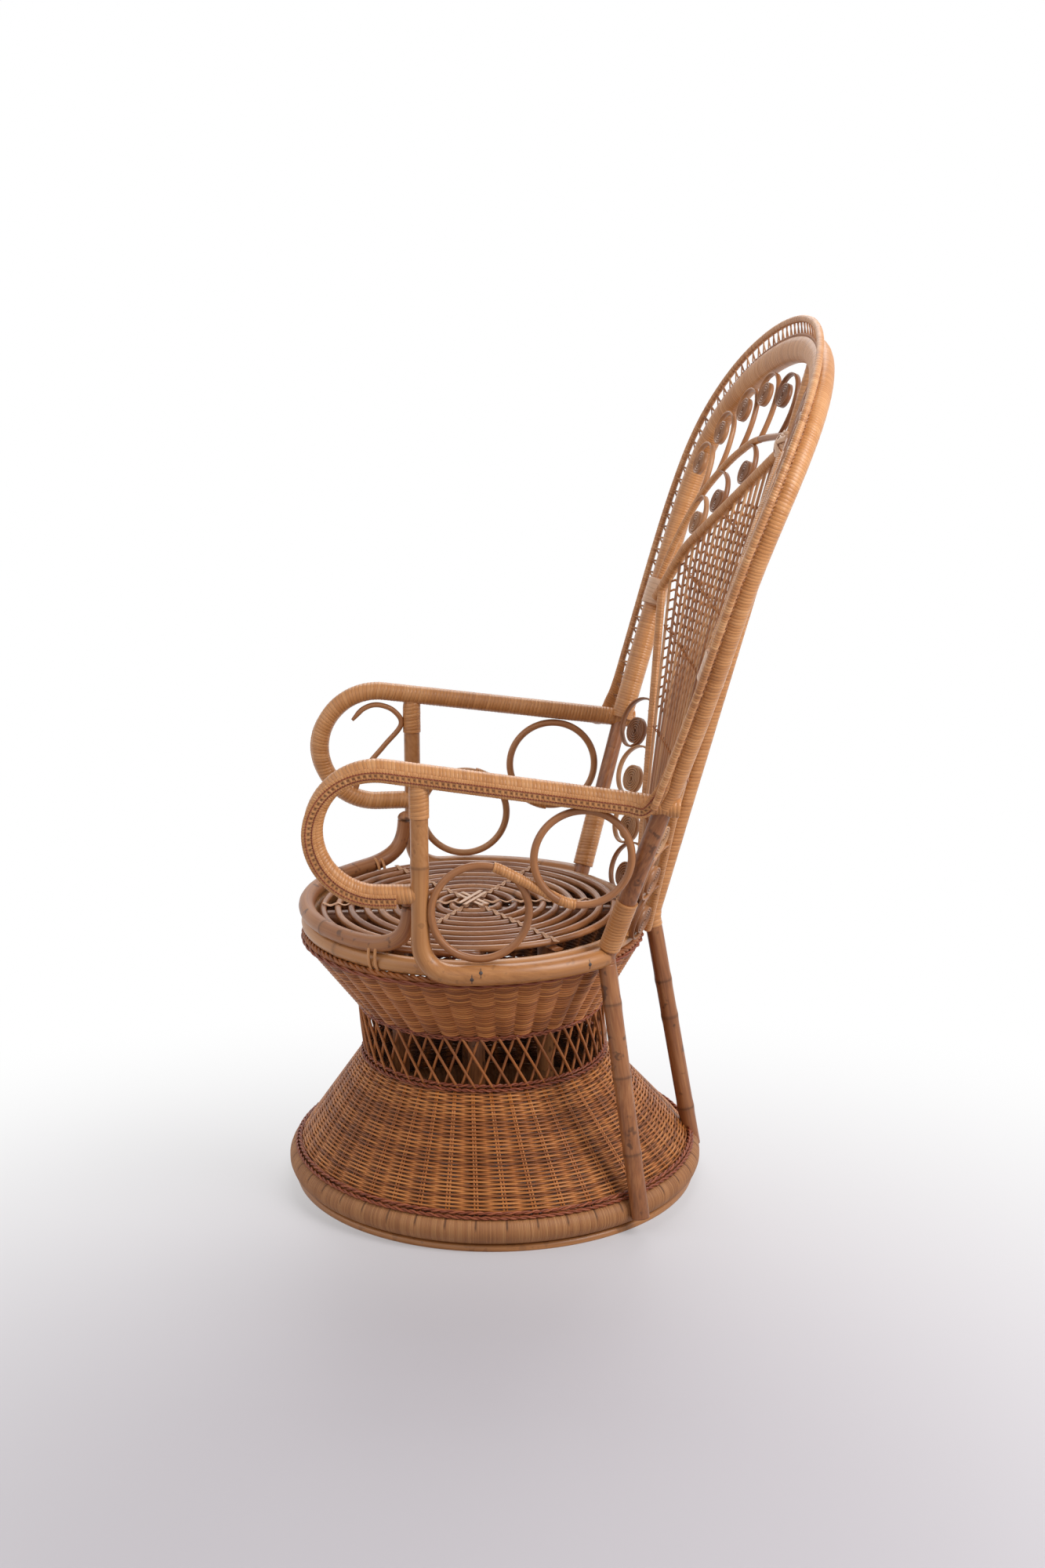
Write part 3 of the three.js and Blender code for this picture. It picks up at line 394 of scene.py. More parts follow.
def cane(name, deep, middle, pale, stain_and_shade_colour, fibres, gloss, coat=0.1, spots=0.0, bump=0.35,
         by_strand=0.4, grain=0.4):
    """Colour = ramp of by_strand * tone + grain * fibres + patches, darkened by stain and painted
    shade.
    """
    finish = bpy.data.materials.new(name)
    finish.use_nodes = True
    tree = finish.node_tree
    place = node(tree, "TexCoord", {})["Object"]
    tone, stain_and_shade = (node(tree, "Attribute", {}, attribute_name=key)["Fac"]
                   for key in ("tone", "stain_and_shade"))
    strand = node(tree, "UVMap", {}, uv_map="strand")[0]
    stretch = node(tree, "Mapping", {"Vector": strand, "Scale": (*fibres, 1)})[0]
    shift = {0: stretch, 1: times(tree, tone, STRAND_SHIFT)}
    fibre = noise(tree, node(tree, "VectorMath", shift, operation="ADD")[0], 1.0, 4.0, 0.6)
    patch = noise(tree, place, PATCH_SCALE, 3.0)
    mixed = added(tree, times(tree, arithmetic(tree, "SUBTRACT", tone, 0.5), by_strand),
                  0.4 - grain / 2, times(tree, fibre, grain), times(tree, patch, PATCH_SHARE))
    colour = ramp(tree, mixed, [(0.3, deep), (0.56, middle), (0.85, pale)])
    if spots:
        speck = arithmetic(tree, "SUBTRACT", noise(tree, place, SPECK_SCALE, 2.0), SPECK_FROM)
        colour = blend(tree, clamped(tree, times(tree, speck, SPECK_EDGE), spots), colour, stain_and_shade_colour)
    # Real stain and painted shade from the skins mix in the dark colour and raise the roughness.
    stain_and_shade_share = clamped(tree, stain_and_shade)
    rough = added(tree, times(tree, fibre, FIBRE_ROUGH), gloss - FIBRE_ROUGH / 2,
                  times(tree, stain_and_shade_share, STAIN_AND_SHADE_ROUGH))
    relief = node(tree, "Bump", {"Strength": bump, "Distance": 0.0004, "Height": fibre})[0]
    feed(tree, tree.nodes["Principled BSDF"], {
        "Base Color": blend(tree, stain_and_shade_share, colour, stain_and_shade_colour), "Roughness": rough, "Normal": relief,
        "Coat Weight": coat, "Coat Roughness": 0.28, "Specular IOR Level": 0.35})
    return finish

# %% The finishes
LONG_FIBRES = (30.0, 9.0)
ROUND_FIBRES = (1100.0, 2.5)
woven = cane("woven_cane", (0.17, 0.047, 0.009), (0.36, 0.114, 0.024), (0.56, 0.22, 0.060),
             (0.025, 0.007, 0.002), LONG_FIBRES, 0.48)
winding = cane("wound_cane", (0.32, 0.118, 0.030), (0.52, 0.222, 0.070), (0.68, 0.35, 0.15),
               (0.16, 0.056, 0.016), ROUND_FIBRES, 0.42, coat=0.25, by_strand=0.16)
base_winding = cane("base_wound_cane", (0.20, 0.075, 0.024), (0.33, 0.135, 0.046),
                    (0.46, 0.22, 0.085), (0.07, 0.024, 0.009), ROUND_FIBRES, 0.55, coat=0.05,
                    by_strand=0.25)
pale_binding = cane("pale_binding", (0.50, 0.26, 0.14), (0.63, 0.37, 0.22), (0.74, 0.49, 0.33),
                    (0.28, 0.12, 0.05), ROUND_FIBRES, 0.4, coat=0.2, by_strand=0.22)
bamboo = cane("bare_pole", (0.25, 0.090, 0.025), (0.41, 0.172, 0.054), (0.53, 0.255, 0.096),
              (0.07, 0.024, 0.010), (5.0, 16.0), 0.4, coat=0.2, spots=0.25, bump=0.2, grain=0.6)
stained = cane("stained_pole", (0.11, 0.036, 0.014), (0.28, 0.10, 0.034), (0.42, 0.185, 0.07),
               (0.025, 0.009, 0.005), (5.0, 20.0), 0.42, coat=0.15, spots=0.6, bump=0.2,
               grain=0.75)
seat_cane = cane("seat_cane", (0.16, 0.052, 0.016), (0.30, 0.112, 0.038), (0.48, 0.22, 0.09),
                 (0.05, 0.016, 0.006), (9.0, 8.0), 0.3, coat=0.4)
dyed = cane("dyed_cane", (0.11, 0.020, 0.006), (0.23, 0.052, 0.017), (0.36, 0.10, 0.04),
            (0.03, 0.007, 0.003), LONG_FIBRES, 0.48)
curled = cane("curled_cane", (0.20, 0.070, 0.023), (0.37, 0.150, 0.053), (0.56, 0.29, 0.13),
              (0.07, 0.025, 0.012), (20.0, 7.0), 0.4, coat=0.15)
rim_cane = cane("rim_cane", (0.31, 0.115, 0.035), (0.52, 0.225, 0.080), (0.68, 0.37, 0.17),
                (0.10, 0.034, 0.012), ROUND_FIBRES, 0.42, coat=0.2, by_strand=0.3)
iron = cane("nail_iron", (0.03, 0.018, 0.014), (0.05, 0.032, 0.026), (0.09, 0.06, 0.05),
            (0.01, 0.006, 0.005), (200.0, 5.0), 0.4)
print("finishes:", len(bpy.data.materials))

# %% [markdown]
# ## Camera
# The photograph was taken from the chair's left, a little above it. The lens and the place were
# worked out from the level rings of the base and the seat.

# %% Camera
LENS, SENSOR = 51.885, 36.0
CAMERA_AT, CAMERA_DOWN, CAMERA_ROUND = (3082.6, -164.3, 1376.1), 14.5, 86.2
camera = bpy.data.objects.new("camera", bpy.data.cameras.new("camera"))
camera.data.lens, camera.data.sensor_width = LENS, SENSOR
camera.location = to_frame(CAMERA_AT)
camera.rotation_euler = np.radians((90.0 - CAMERA_DOWN, 0.0, CAMERA_ROUND))
camera.data.clip_end = 100.0
bpy.context.scene.collection.objects.link(camera)
bpy.context.scene.camera = camera
print("camera at", [round(v, 3) for v in camera.location])

# %% [markdown]
# ## The base ring
# The pedestal stands on a flat hoop, and on that lies a thick ring wound with narrow cane. The
# upright stakes of the skirt go down into the winding and leave a slit each; the slits are not cut,
# only painted as shade on the ring's skin.

# %% Base ring and floor hoop
STAKES = 44
RING_RADIUS, RING_Z, RING_SIZE = 281.0, 28.3, 19.0
SLIT_WIDTH, SLIT_FADE = 1.3, 3
base = wound(circle(RING_RADIUS, 0, RING_Z, 720), RING_SIZE, RING_SIZE, 2.2, UP, loop=True,
             proud=0.3, sides=18)
ring_at = base["at"]
bearing = np.arctan2(ring_at[..., 1], ring_at[..., 0]) * STAKES / TURN
off = (bearing - np.round(bearing)) * TURN * RING_RADIUS / STAKES
# Painted shade: each slit is only a darkening of the ring's skin.
slit_shade = np.exp(-((off / SLIT_WIDTH) ** 2))
slit_depth = rng.uniform(1.0, 7.0, STAKES)[np.round(bearing).astype(int) % STAKES]
outward = np.hypot(ring_at[..., 0], ring_at[..., 1]) - RING_RADIUS
above = ring_at[..., 2] - RING_Z - slit_depth
slit_shade = slit_shade * (outward > SLIT_FADE) * np.clip(above / SLIT_FADE, 0, 1)
base["stain_and_shade"] = np.clip(base["stain_and_shade"] + slit_shade * 0.9, 0, 1)
dress("base_ring", "winding", [base], base_winding)

hoop_section = np.array([[0, -9], [0, 9], [1.5, 9.6], [5, 9], [8, 7], [9, 4], [9, -4], [8, -7],
                         [5, -9], [1.5, -9.6]])
floor_hoop = strands(circle(RING_RADIUS, 0, 0, 180), hoop_section, UP, loop=True, tone=0.35)
dress("floor_hoop", "cane", [floor_hoop], bamboo)

# %% [markdown]
# ## Woven walls
# A wall is a cone between two circles, and each weaver is a ring on it that goes in and out of
# the stakes: its height off the wall is a cosine with one half wave to a stake, and every second
# row has the opposite sign. That is plain weave, and the gaps beside the stakes come out by
# themselves.

# %% A cone of weave
WEAVE_STEPS = 8


def wall(foot, top, share, angle, proud):
    """Radius, centre and height are mixed from foot to top; proud is square to the wall's slope."""
    radius, y, z = (mix(foot[k], top[k], share) for k in range(3))
    run, rise = top[0] - foot[0], top[2] - foot[2]
    slope = np.hypot(run, rise)
    radius = radius + proud * rise / slope
    z = np.broadcast_to(z - proud * run / slope, np.broadcast(radius, angle).shape)
    return np.stack([radius * np.cos(angle), y + radius * np.sin(angle), z], -1)


def wall_out(foot, top, angle):
    """The direction square to the wall: (rise, -run) of its slope, turned round the axis."""
    run, rise = top[0] - foot[0], top[2] - foot[2]
    flat = np.full(np.shape(angle), -run)
    return unit(np.stack([rise * np.cos(angle), rise * np.sin(angle), flat], -1))


def weave_rows(foot, top, rows, of_rows, swing, section):
    """height off the wall = swing * (-1)^row * cos(stakes * angle / 2)."""
    angle = np.arange(STAKES * WEAVE_STEPS) / (STAKES * WEAVE_STEPS) * TURN
    share = (rows[:, None] + 0.5) / of_rows
    wave = np.where(rows % 2, -1.0, 1.0)[:, None] * np.cos(STAKES * angle / 2)
    jitter = 0.06 * rng.standard_normal(share.shape) / of_rows
    paths = wall(foot, top, share + jitter, angle[None], swing * wave)
    # Painted shade: a weaver is darkened where it dips behind a stake.
    return strands(paths, section, wall_out(foot, top, np.broadcast_to(angle, wave.shape)), True,
                   stain_and_shade=0.9 * np.clip(-wave, 0, 1) ** 0.7)


def stake_pairs(foot, top, radius, apart):
    """Two uprights to each stake, apart from each other round the wall."""
    step = np.arange(STAKES)[:, None] / STAKES * TURN
    angle = (step + np.array([-0.5, 0.5]) * apart / foot[0]).reshape(-1, 1)
    paths = wall(foot, top, np.linspace(0, 1, 7)[None], angle, 0.0)
    return strands(paths, ring(radius, radius, 6), wall_out(foot, top, angle + np.zeros((1, 7))))

# %% Skirt and bowl
SKIRT_FOOT, SKIRT_TOP = (283.3, 0, 47.6), (174.3, -15, 183.2)
SKIRT_ROWS = 64
skirt_low, skirt_high = (
    weave_rows(SKIRT_FOOT, SKIRT_TOP, rows, SKIRT_ROWS, 1.7, ring(1.5, 1.6, 6))
    for rows in np.split(np.arange(SKIRT_ROWS), 2))
skirt_stakes = stake_pairs(SKIRT_FOOT, SKIRT_TOP, 1.5, 4.4)
dress("skirt", "weave_low", [skirt_low, skirt_stakes], woven)
dress("skirt", "weave_high", [skirt_high], woven)

BOWL_FOOT, BOWL_TOP = (174.8, -20, 267.8), (238.8, -31, 364.2)
BOWL_ROWS = 46
bowl = weave_rows(BOWL_FOOT, BOWL_TOP, np.arange(BOWL_ROWS), BOWL_ROWS, 3.4, ring(1.4, 2.3, 6))
dress("bowl", "weave", [bowl], woven)
bowl_stakes = stake_pairs(BOWL_FOOT, BOWL_TOP, 1.9, 5.0)
make("bowl_stakes", [bowl_stakes], woven)

# %% [markdown]
# ## The open neck and its dyed bands
# Between the two walls the stakes part and cross, which leaves diamonds. Above and below, and at
# the foot of the skirt, weavers dyed red-brown are twisted round each other in pairs.

# %% Neck canes and bands
NECK_CANES = 44
NECK_LOW, NECK_HIGH = (171.0, -15.0, 184.0), (174.0, -20.0, 267.0)


def neck_canes(lean, layer):
    """Angle and height both grow evenly from ring to ring; lean is in cane pitches."""
    share = np.linspace(0, 1, 9)[None]
    angle = ((np.arange(NECK_CANES) + 0.25)[:, None] + lean * share) / NECK_CANES * TURN
    paths = wall(NECK_LOW, NECK_HIGH, share, angle, layer)
    return strands(paths, ring(1.95, 1.95, 7), wall_out(NECK_LOW, NECK_HIGH, angle),
                   tone=0.5 * rng.random(NECK_CANES))


def band(radius, y, z, rise, out, size, turns):
    """Two twisted pairs, one over the other, on a ring; out is how far the upper one sets back."""
    rows = [(radius + out / 2, z - rise / 2, turns), (radius - out / 2, z + rise / 2, -turns)]
    return [twist(circle(r, y, h, 630), 2, size * 0.9, n, size, UP) for r, h, n in rows]


neck = [neck_canes(-1.7, 2.1), neck_canes(1.4, -2.1)]
make("neck_canes", neck, woven, ["neck_lattice"])
neck_bands = (band(174.5, -15, 189.5, 5.4, 3.0, size=1.5, turns=50)
              + band(176.0, -20, 263.0, 4.0, -2.4, size=1.3, turns=50))
make("neck_bands", neck_bands, dyed, ["neck_lattice"])
foot_bands = band(286.5, 0, 51.0, 5.0, 4.2, size=1.55, turns=70)
make("foot_bands", foot_bands, dyed, ["base_wale"])

# %% [markdown]
# A rope of three strands finishes the bowl's top edge, with one last dyed pair under it. Inside
# the pedestal four posts carry the two seat rails; they show through the diamonds of the neck.

# %% Rope edge, posts and rails
SEAT_Y, SEAT_Z, SEAT_RADIUS = -31.0, 384.0, 232.0
rope = twist(circle(238.6, SEAT_Y, 368.6, 330), 3, 2.5, 44, 2.7, UP)
make("bowl_rope", [rope], woven, ["bowl_border"])
make("bowl_band", [twist(circle(242.0, SEAT_Y, 362.6, 264), 2, 1.6, 30, 1.8, UP)], dyed)

POST_REACH, POST_SIZE, RAIL_SIZE = 105.0, 12.0, 11.0
post_feet = [("front", (0, SEAT_Y - POST_REACH), 372.6), ("rear", (0, SEAT_Y + POST_REACH), 372.6),
             ("left", (POST_REACH, SEAT_Y), 350.4), ("right", (-POST_REACH, SEAT_Y), 350.4)]
for name, (x, y), top in post_feet:
    line = np.linspace((x, y, 0.0), (x, y, top), 90)
    dress(f"inner_post_{name}", "pole", [bare(line, POST_SIZE, ACROSS, (130.0, 290.0))], stained)
rails = [("long", (0, 219.7, SEAT_Z), (90, 340)), ("cross", (228.0, 0, 361.7), (120, 330))]
for name, (x, y, z), knots in rails:
    line = np.linspace((-x, SEAT_Y - y, z), (x, SEAT_Y + y, z), 120)
    dress(f"seat_rail_{name}", "pole", [bare(line, RAIL_SIZE, UP, knots)], stained)

# %% [markdown]
# ## The seat
# One cane winds outwards on three flat slats. Along each slat four thin strips rise over every
# turn and dip into every gap, and they cross each other in pairs as they go. Four broad strips
# cover the middle.

# %% Seat ring and coil
seat_ring = bare(circle(SEAT_RADIUS, SEAT_Y, SEAT_Z, 240), 12.0, UP, (150, 520, 905, 1240),
                 loop=True)
dress("seat_hoop", "cane", [seat_ring], bamboo)

COIL_Z, COIL_TURNS, COIL_FROM, COIL_TO = 400.3, 10, 13.0, 218.0
turn = np.linspace(0, COIL_TURNS, 900)
coil_radius = mix(COIL_FROM, COIL_TO, turn / COIL_TURNS)
coil_radius = coil_radius + 0.7 * np.sin(turn * 9.1) + 0.5 * np.sin(turn * 23.7)
coil = np.stack([coil_radius * np.cos(turn * TURN), SEAT_Y + coil_radius * np.sin(turn * TURN),
                 COIL_Z + 0.4 * np.sin(turn * 13.3)], -1)
coil_tone = 0.5 + 0.3 * np.sin(turn * 2.3) + 0.2 * np.sin(turn * 7.9)
coil_knots = np.arange(180.0, 7200.0, 410.0)
seat_turns = bare(coil, 5.0, UP, coil_knots, sides=10, tone=coil_tone, swell=0.05)
dress("seat_coil", "cane", [seat_turns], seat_cane)

# %% Lashing and slats
COIL_PITCH = (COIL_TO - COIL_FROM) / COIL_TURNS
SLAT_MIDDLE = np.array([0, SEAT_Y, 393.2])
STAR_Z, STAR_REACH = 408.6, 34.0
lash_parts, slat_parts, star = [], [], []
for degrees, reach in ((30.0, 216.0), (90.0, 214.0), (150.0, 216.0)):
    heading = np.radians(degrees)
    line_way = np.array([np.cos(heading), np.sin(heading), 0])
    line_side = np.array([-np.sin(heading), np.cos(heading), 0])
    at = np.linspace(-214, 214, 560)
    phase = (np.abs(at) - COIL_FROM) / COIL_PITCH - np.where(at > 0, degrees, degrees + 180) / 360
    height = COIL_Z + 4.6 + 1.5 * np.cos(phase * TURN)
    sway = 1.5 * np.sin(phase * TURN / 2)
    lines = [at[:, None] * line_way + (k * sway + d)[:, None] * line_side
             + np.stack([0 * at, 0 * at + SEAT_Y, height + 0.3 * k], -1)
             for k, d in ((1, -1.0), (-1, -1.0), (1, 1.0), (-1, 1.0))]
    tone = rng.random(len(lines)) * 0.5 + 0.3
    lash_parts.append(strands(np.array(lines), ring(0.7, 0.9, 6), UP, tone=tone))
    slat = np.linspace(SLAT_MIDDLE - reach * line_way, SLAT_MIDDLE + reach * line_way, 60)
    slat_parts.append(strands(slat, ring(2.0, 8.0, 10), UP, tone=0.4))
for k, (hand, beside) in enumerate(((1, -1), (1, 1), (-1, 1), (-1, -1))):
    middle = np.array([-2.0 * hand * beside, SEAT_Y + 3.5 * beside, STAR_Z + k])
    way = STAR_REACH * np.array([0.87 * hand, 0.5, 0])
    star.append(np.linspace(middle - way, middle + way, 16))
lash_parts.append(strands(np.array(star), ring(0.6, 3.2, 8), UP, tone=0.98))
dress("seat_lashing", "strips", lash_parts, pale_binding)
make("seat_slats", slat_parts, seat_cane)

# %% [markdown]
# ## Front cane and side rails
# A thick cane lies on the seat ring round the front and turns up beside the posts. Each post is
# one pole, bent at its foot to run on round the seat's rim to the rear pole.

# %% Front cane
ARM_RISE, ARM_SIZE = np.radians(7.932), 13.4
ARM_LOOP_X, ARM_LOOP_Y, ARM_LOOP_Z, ARM_LOOP = 240.0, -164.0, 578.0, 85.0
ARM_END = np.array([262.0, 208.0, 612.0])
FRONT_RADIUS, FRONT_Z, FRONT_SIZE, FRONT_ROUNDING = 236.0, 406.6, 11.4, 9.0
RUN_RADIUS, RUN_SIZE, POST_BEARING = 258.3, 14.0, -18.0


def rim_point(side, degrees, radius, z):
    """A point over the seat's rim: angle from the side, counted towards the back."""
    t = np.radians(degrees)
    x, y = side * radius * np.cos(t), SEAT_Y + radius * np.sin(t)
    return np.stack(np.broadcast_arrays(x, y, z), -1)


def arm_x(y):
    """Arms spread evenly from the loop to their ends at the back."""
    return mix(ARM_LOOP_X, ARM_END[0], (y - ARM_LOOP_Y) / (ARM_END[1] - ARM_LOOP_Y))


def arm_z(y):
    """Arms rise evenly from the back to the front."""
    return ARM_END[2] + (ARM_END[1] - y) * np.tan(ARM_RISE)


front_arc = rim_point(1, np.arange(-45.0, -136.0, -10.0), FRONT_RADIUS, FRONT_Z)
turn_up = np.array([[-37, 1.5], [-31.5, 6.5], [-27.5, 15], [-25, 27], [-23.6, 42], [-23, 58],
                    [-23, 74]])
left_end = rim_point(1, turn_up[::-1, 0], FRONT_RADIUS, FRONT_Z + turn_up[::-1, 1])
right_end = rim_point(-1, turn_up[:, 0], FRONT_RADIUS, FRONT_Z + turn_up[:, 1])
front = spaced(smooth(np.vstack([left_end, front_arc, right_end]), 14), 260)
to_end = np.minimum(reach_of(front), reach_of(front)[::-1])
rounded = np.clip(to_end / FRONT_ROUNDING, 0.05, 1)
front_size = FRONT_SIZE * np.sqrt(rounded * (2 - rounded))
dress("front_cane", "pole", [bare(front, front_size, UP, (205, 470), tone=0.72)], stained)

# %% Posts and side rails
post_x, post_y, _ = rim_point(1, POST_BEARING, RUN_RADIUS, 0.0)
cuff_girth = lambda share: np.interp(share, [0, 0.22, 1], [0.82, 1, 1])
post_top = arm_z(post_y) - ARM_SIZE / 2 / np.cos(ARM_RISE)
for name, side in SIDES:
    post = lambda z: np.array([side * post_x, post_y, z])
    upright = np.array([post(z) for z in (post_top, 560.0, 500.0, 450.0)])
    onto_rim = rim_point(side, POST_BEARING + 11.09, RUN_RADIUS, SEAT_Z)
    elbow = quadratic(post(434.0), post(SEAT_Z), onto_rim, np.linspace(0.06, 1, 8)[:, None])
    run = rim_point(side, np.linspace(-2.0, 41.0, 9), RUN_RADIUS, SEAT_Z)
    line = spaced(smooth(np.vstack([upright, elbow, run]), 10), 260)
    reach = reach_of(line)
    size = np.interp(reach, [0, 190, 270], [12.0, 12.0, RUN_SIZE])
    tone = np.interp(reach, [0, 120, 250, 420], [0.4, 0.62, 0.6, 0.4])
    dress(f"side_rail_{name}", "pole",
          [bare(line, size, ACROSS * side + 0.3 * UP, (118,), tone=tone)], bamboo)
    cuff = np.linspace(post(post_top), post(post_top - 52), 40)
    make(f"post_cuff_{name}", [wound(cuff, 13.6, 13.6, 5.0, ACROSS, girth=cuff_girth)], winding)

# %% [markdown]
# ## Arms
# An arm is a straight rest that rolls over into a loop and comes back to the post, wound from end
# to end. The braid on its outer side comes later, with the back's lace, which it grows out of.

# %% Arms
ARM_REAR = 228.0


def arm_line(side, out=0.0, drop=0.0, front_drop=0.0, count=420):
    """Straight rest, an arc of the loop and the way back to the post, moved out in x and drawn in
    by drop, which eases to front_drop over the first part of the arc."""
    a = np.linspace(np.pi / 2 + ARM_RISE, -np.pi / 2, 90)
    drops = mix(drop, front_drop, eased(np.clip((a[0] - a) / (0.6 * np.pi), 0, 1)))
    y = np.concatenate([[ARM_REAR], ARM_LOOP_Y - (ARM_LOOP - drops) * np.cos(a), [post_y]])
    z = np.concatenate([[arm_z(ARM_REAR) - drop / np.cos(ARM_RISE)],
                        ARM_LOOP_Z + (ARM_LOOP - drops) * np.sin(a),
                        [ARM_LOOP_Z - ARM_LOOP + front_drop]])
    return spaced(np.stack([side * (arm_x(y) + out), y, z], -1), count)


for name, side in SIDES:
    rest = wound(arm_line(side), ARM_SIZE, ARM_SIZE, 5.0, ACROSS * side, sides=18)
    dress(f"arm_{name}", "winding", [rest], winding)

# %% [markdown]
# ## Scrolls under the arms
# One thin cane makes a ring, leaves it at a tangent, and makes a second ring the other way round.
# The stretch between the rings is wound.

# %% Scrolls and the hook
SCROLL_X, SCROLL_RING = 254.0, 64.5
FRONT_RING, REAR_RING = np.array([-32.1, 469.3]), np.array([102.6, 542.0])
apart = REAR_RING - FRONT_RING
lean = np.arctan2(apart[1], apart[0]) + np.arccos(2 * SCROLL_RING / np.hypot(*apart))


def scroll_line(side):
    """Once round the front ring, then once the other way round the rear one, by the tangent."""
    t = np.linspace(0, TURN, 90)
    spoke = lambda angle: SCROLL_RING * np.stack([np.cos(angle), np.sin(angle)], -1)
    flat = np.vstack([FRONT_RING + spoke(lean + TURN - t), REAR_RING - spoke(lean + t)])
    shift = np.concatenate([np.linspace(-4.0, 0, 90), np.linspace(0, 4.0, 90)])
    return spaced(np.column_stack([side * (SCROLL_X + shift), flat]), 420)


def ring_dirt(line):
    """Handling darkens the rings: two slow waves along the cane, multiplied, where above 0."""
    reach = reach_of(line)
    return 0.18 * np.clip(np.sin(reach / 38.0) * np.sin(reach / 91.0 + 1.0), 0, 1)


HOOK = [(-200, 619), (-183, 636), (-162, 641.5), (-138, 632), (-127, 610), (-153, 578),
        (-186, 538.5), (-200, 503)]
for name, side in SIDES:
    line = scroll_line(side)
    scroll = bare(line, 5.2, ACROSS, (470,), sides=12, swell=0.04, stain=ring_dirt(line))
    dress(f"arm_scroll_{name}", "cane", [scroll], curled)
    reach = reach_of(line)
    middle = line[(reach > reach[-1] / 2 - 58) & (reach < reach[-1] / 2 + 66)]
    make(f"arm_scroll_{name}_winding", [wound(middle, 7.2, 7.2, 4.2, ACROSS, sides=12)],
         winding)
hook = smooth([(-arm_x(y), y, z) for y, z in HOOK], 12)
hook_size = np.interp(np.linspace(0, 1, len(hook)), [0, 0.08, 1], [2.4, 4.0, 4.0])
dress("loop_hook_right", "cane", [bare(hook, hook_size, ACROSS, sides=12)], curled)

# %% [markdown]
# ## Rear poles
# Two poles lean in from the arms to the seat's rim and out again to the base ring. They are the
# oldest looking wood on the chair, stained and ringed, and wound where they meet the rim.

# %% Rear poles
REAR_STOPS = np.array([ARM_END, (205.4, 154.6, 429.6), (195.0, 144.8, 396.2),
                       (191.4, 141.4, SEAT_Z), (192.8, 142.6, 373.0), (198.5, 147.0, 338.0),
                       (247.6, 186.6, 24.0)])
REAR_KNOTS = (318.0, 420.0, 528.0)
for name, side in SIDES:
    line = spaced(smooth(REAR_STOPS * (side, 1, 1), 16), 320)
    reach = reach_of(line)
    tone = np.interp(reach, [0, 120, 240, 420, 640], [0.45, 0.3, 0.55, 0.6, 0.4])
    top_size = 11.9 + 0.6 * side
    size = np.interp(reach, [0, 190, 260], [top_size, top_size, 12.4])
    dress(f"rear_pole_{name}", "pole", [bare(line, size, ACROSS, REAR_KNOTS, tone=tone)], stained)
    rim = np.array([side * 191.2, 141.2, SEAT_Z])
    way = unit(ARM_END * (side, 1, 1) - rim)
    cuff = np.linspace(rim + 15 * way, rim + 93 * way, 60)
    dress(f"pole_wrap_{name}", "winding", [wound(cuff, 15.0, 15.0, 5.0, ACROSS)], winding)

# %% [markdown]
# ## The back's own plane
# The back leans 20 degrees, so its shapes are drawn flat, as width and height up the slope, and
# then laid on that plane. The hoop bows out of it a little and the fan is dished into it.

# %% Back plane
LEAN = np.radians(20.0)
BACK_UP = np.array([0, np.sin(LEAN), np.cos(LEAN)])
BACK_REAR = np.array([0, np.cos(LEAN), -np.sin(LEAN)])
BACK_FOOT = ARM_END * (0, 1, 1)
DISH_DEPTH, DISH_SLOPE = 33.0, 0.18
HOOP_FOOT, HOOP_WIDE, HOOP_FLANK, HOOP_CROWN, HOOP_BOW = 256.0, 338.0, 388.0, 222.0, 29.0
SHOULDER, SHOULDER_UP, SHOULDER_SPREAD = 9.0, 330.0, 170.0


def on_back(x, up, behind):
    """(x, 0, 0) + the back's foot + up * slope + behind * square to the slope."""
    x, up, behind = np.broadcast_arrays(np.asarray(x, float), up, behind)
    start = x[..., None] * ACROSS + BACK_FOOT
    return start + up[..., None] * BACK_UP + behind[..., None] * BACK_REAR


def on_dish(x, up):
    """The fan's hollow: DISH_DEPTH in the middle, shallower by DISH_SLOPE of the way out."""
    return on_back(x, up, DISH_DEPTH - DISH_SLOPE * np.abs(x))


def hoop_dish(x):
    """The hoop's bow behind the plane: HOOP_BOW * (foot^2 - x^2) / width^2."""
    return HOOP_BOW * (HOOP_FOOT**2 - np.asarray(x) ** 2) / HOOP_WIDE**2


def shoulder(x, up):
    """The frame is a little twisted: its left shoulder stands forward, by a bell up the slope."""
    bell = np.exp(-(((up - SHOULDER_UP) / SHOULDER_SPREAD) ** 2))
    return SHOULDER * np.clip(x / HOOP_WIDE, 0, 1) * bell

# %% The hoop's outline
t = np.linspace(0, 1, 120, endpoint=False)[:, None]
stops = np.array([(-HOOP_FOOT, 0), (-292.9, 164.9), (-HOOP_WIDE, 281.3), (-HOOP_WIDE, HOOP_FLANK)])
flank = mix(quadratic(*stops[:3], t), quadratic(*stops[1:], t), t)
crown = np.linspace(np.pi, np.pi / 2, 120)
crown = np.stack([HOOP_WIDE * np.cos(crown), HOOP_FLANK + HOOP_CROWN * np.sin(crown)], -1)
half = np.vstack([flank, crown])
outline2 = np.vstack([half, (half * (-1, 1))[-2::-1]])
outline_reach = reach_of(outline2)
outline_length = outline_reach[-1]
outline_along = unit(np.gradient(outline2, axis=0))


def on_edge(share, out, forward):
    """Beside the hoop: share of the way round, out from its middle line and forward of it."""
    stop = np.asarray(share) * outline_length
    read = lambda v: np.interp(stop, outline_reach, v)
    x, up = read(outline2[:, 0]), read(outline2[:, 1])
    tx, tu = read(outline_along[:, 0]), read(outline_along[:, 1])
    return on_back(x - tu * out, up + tx * out, hoop_dish(x) - shoulder(x, up) - forward)


print("hoop length", round(outline_length), "mm")

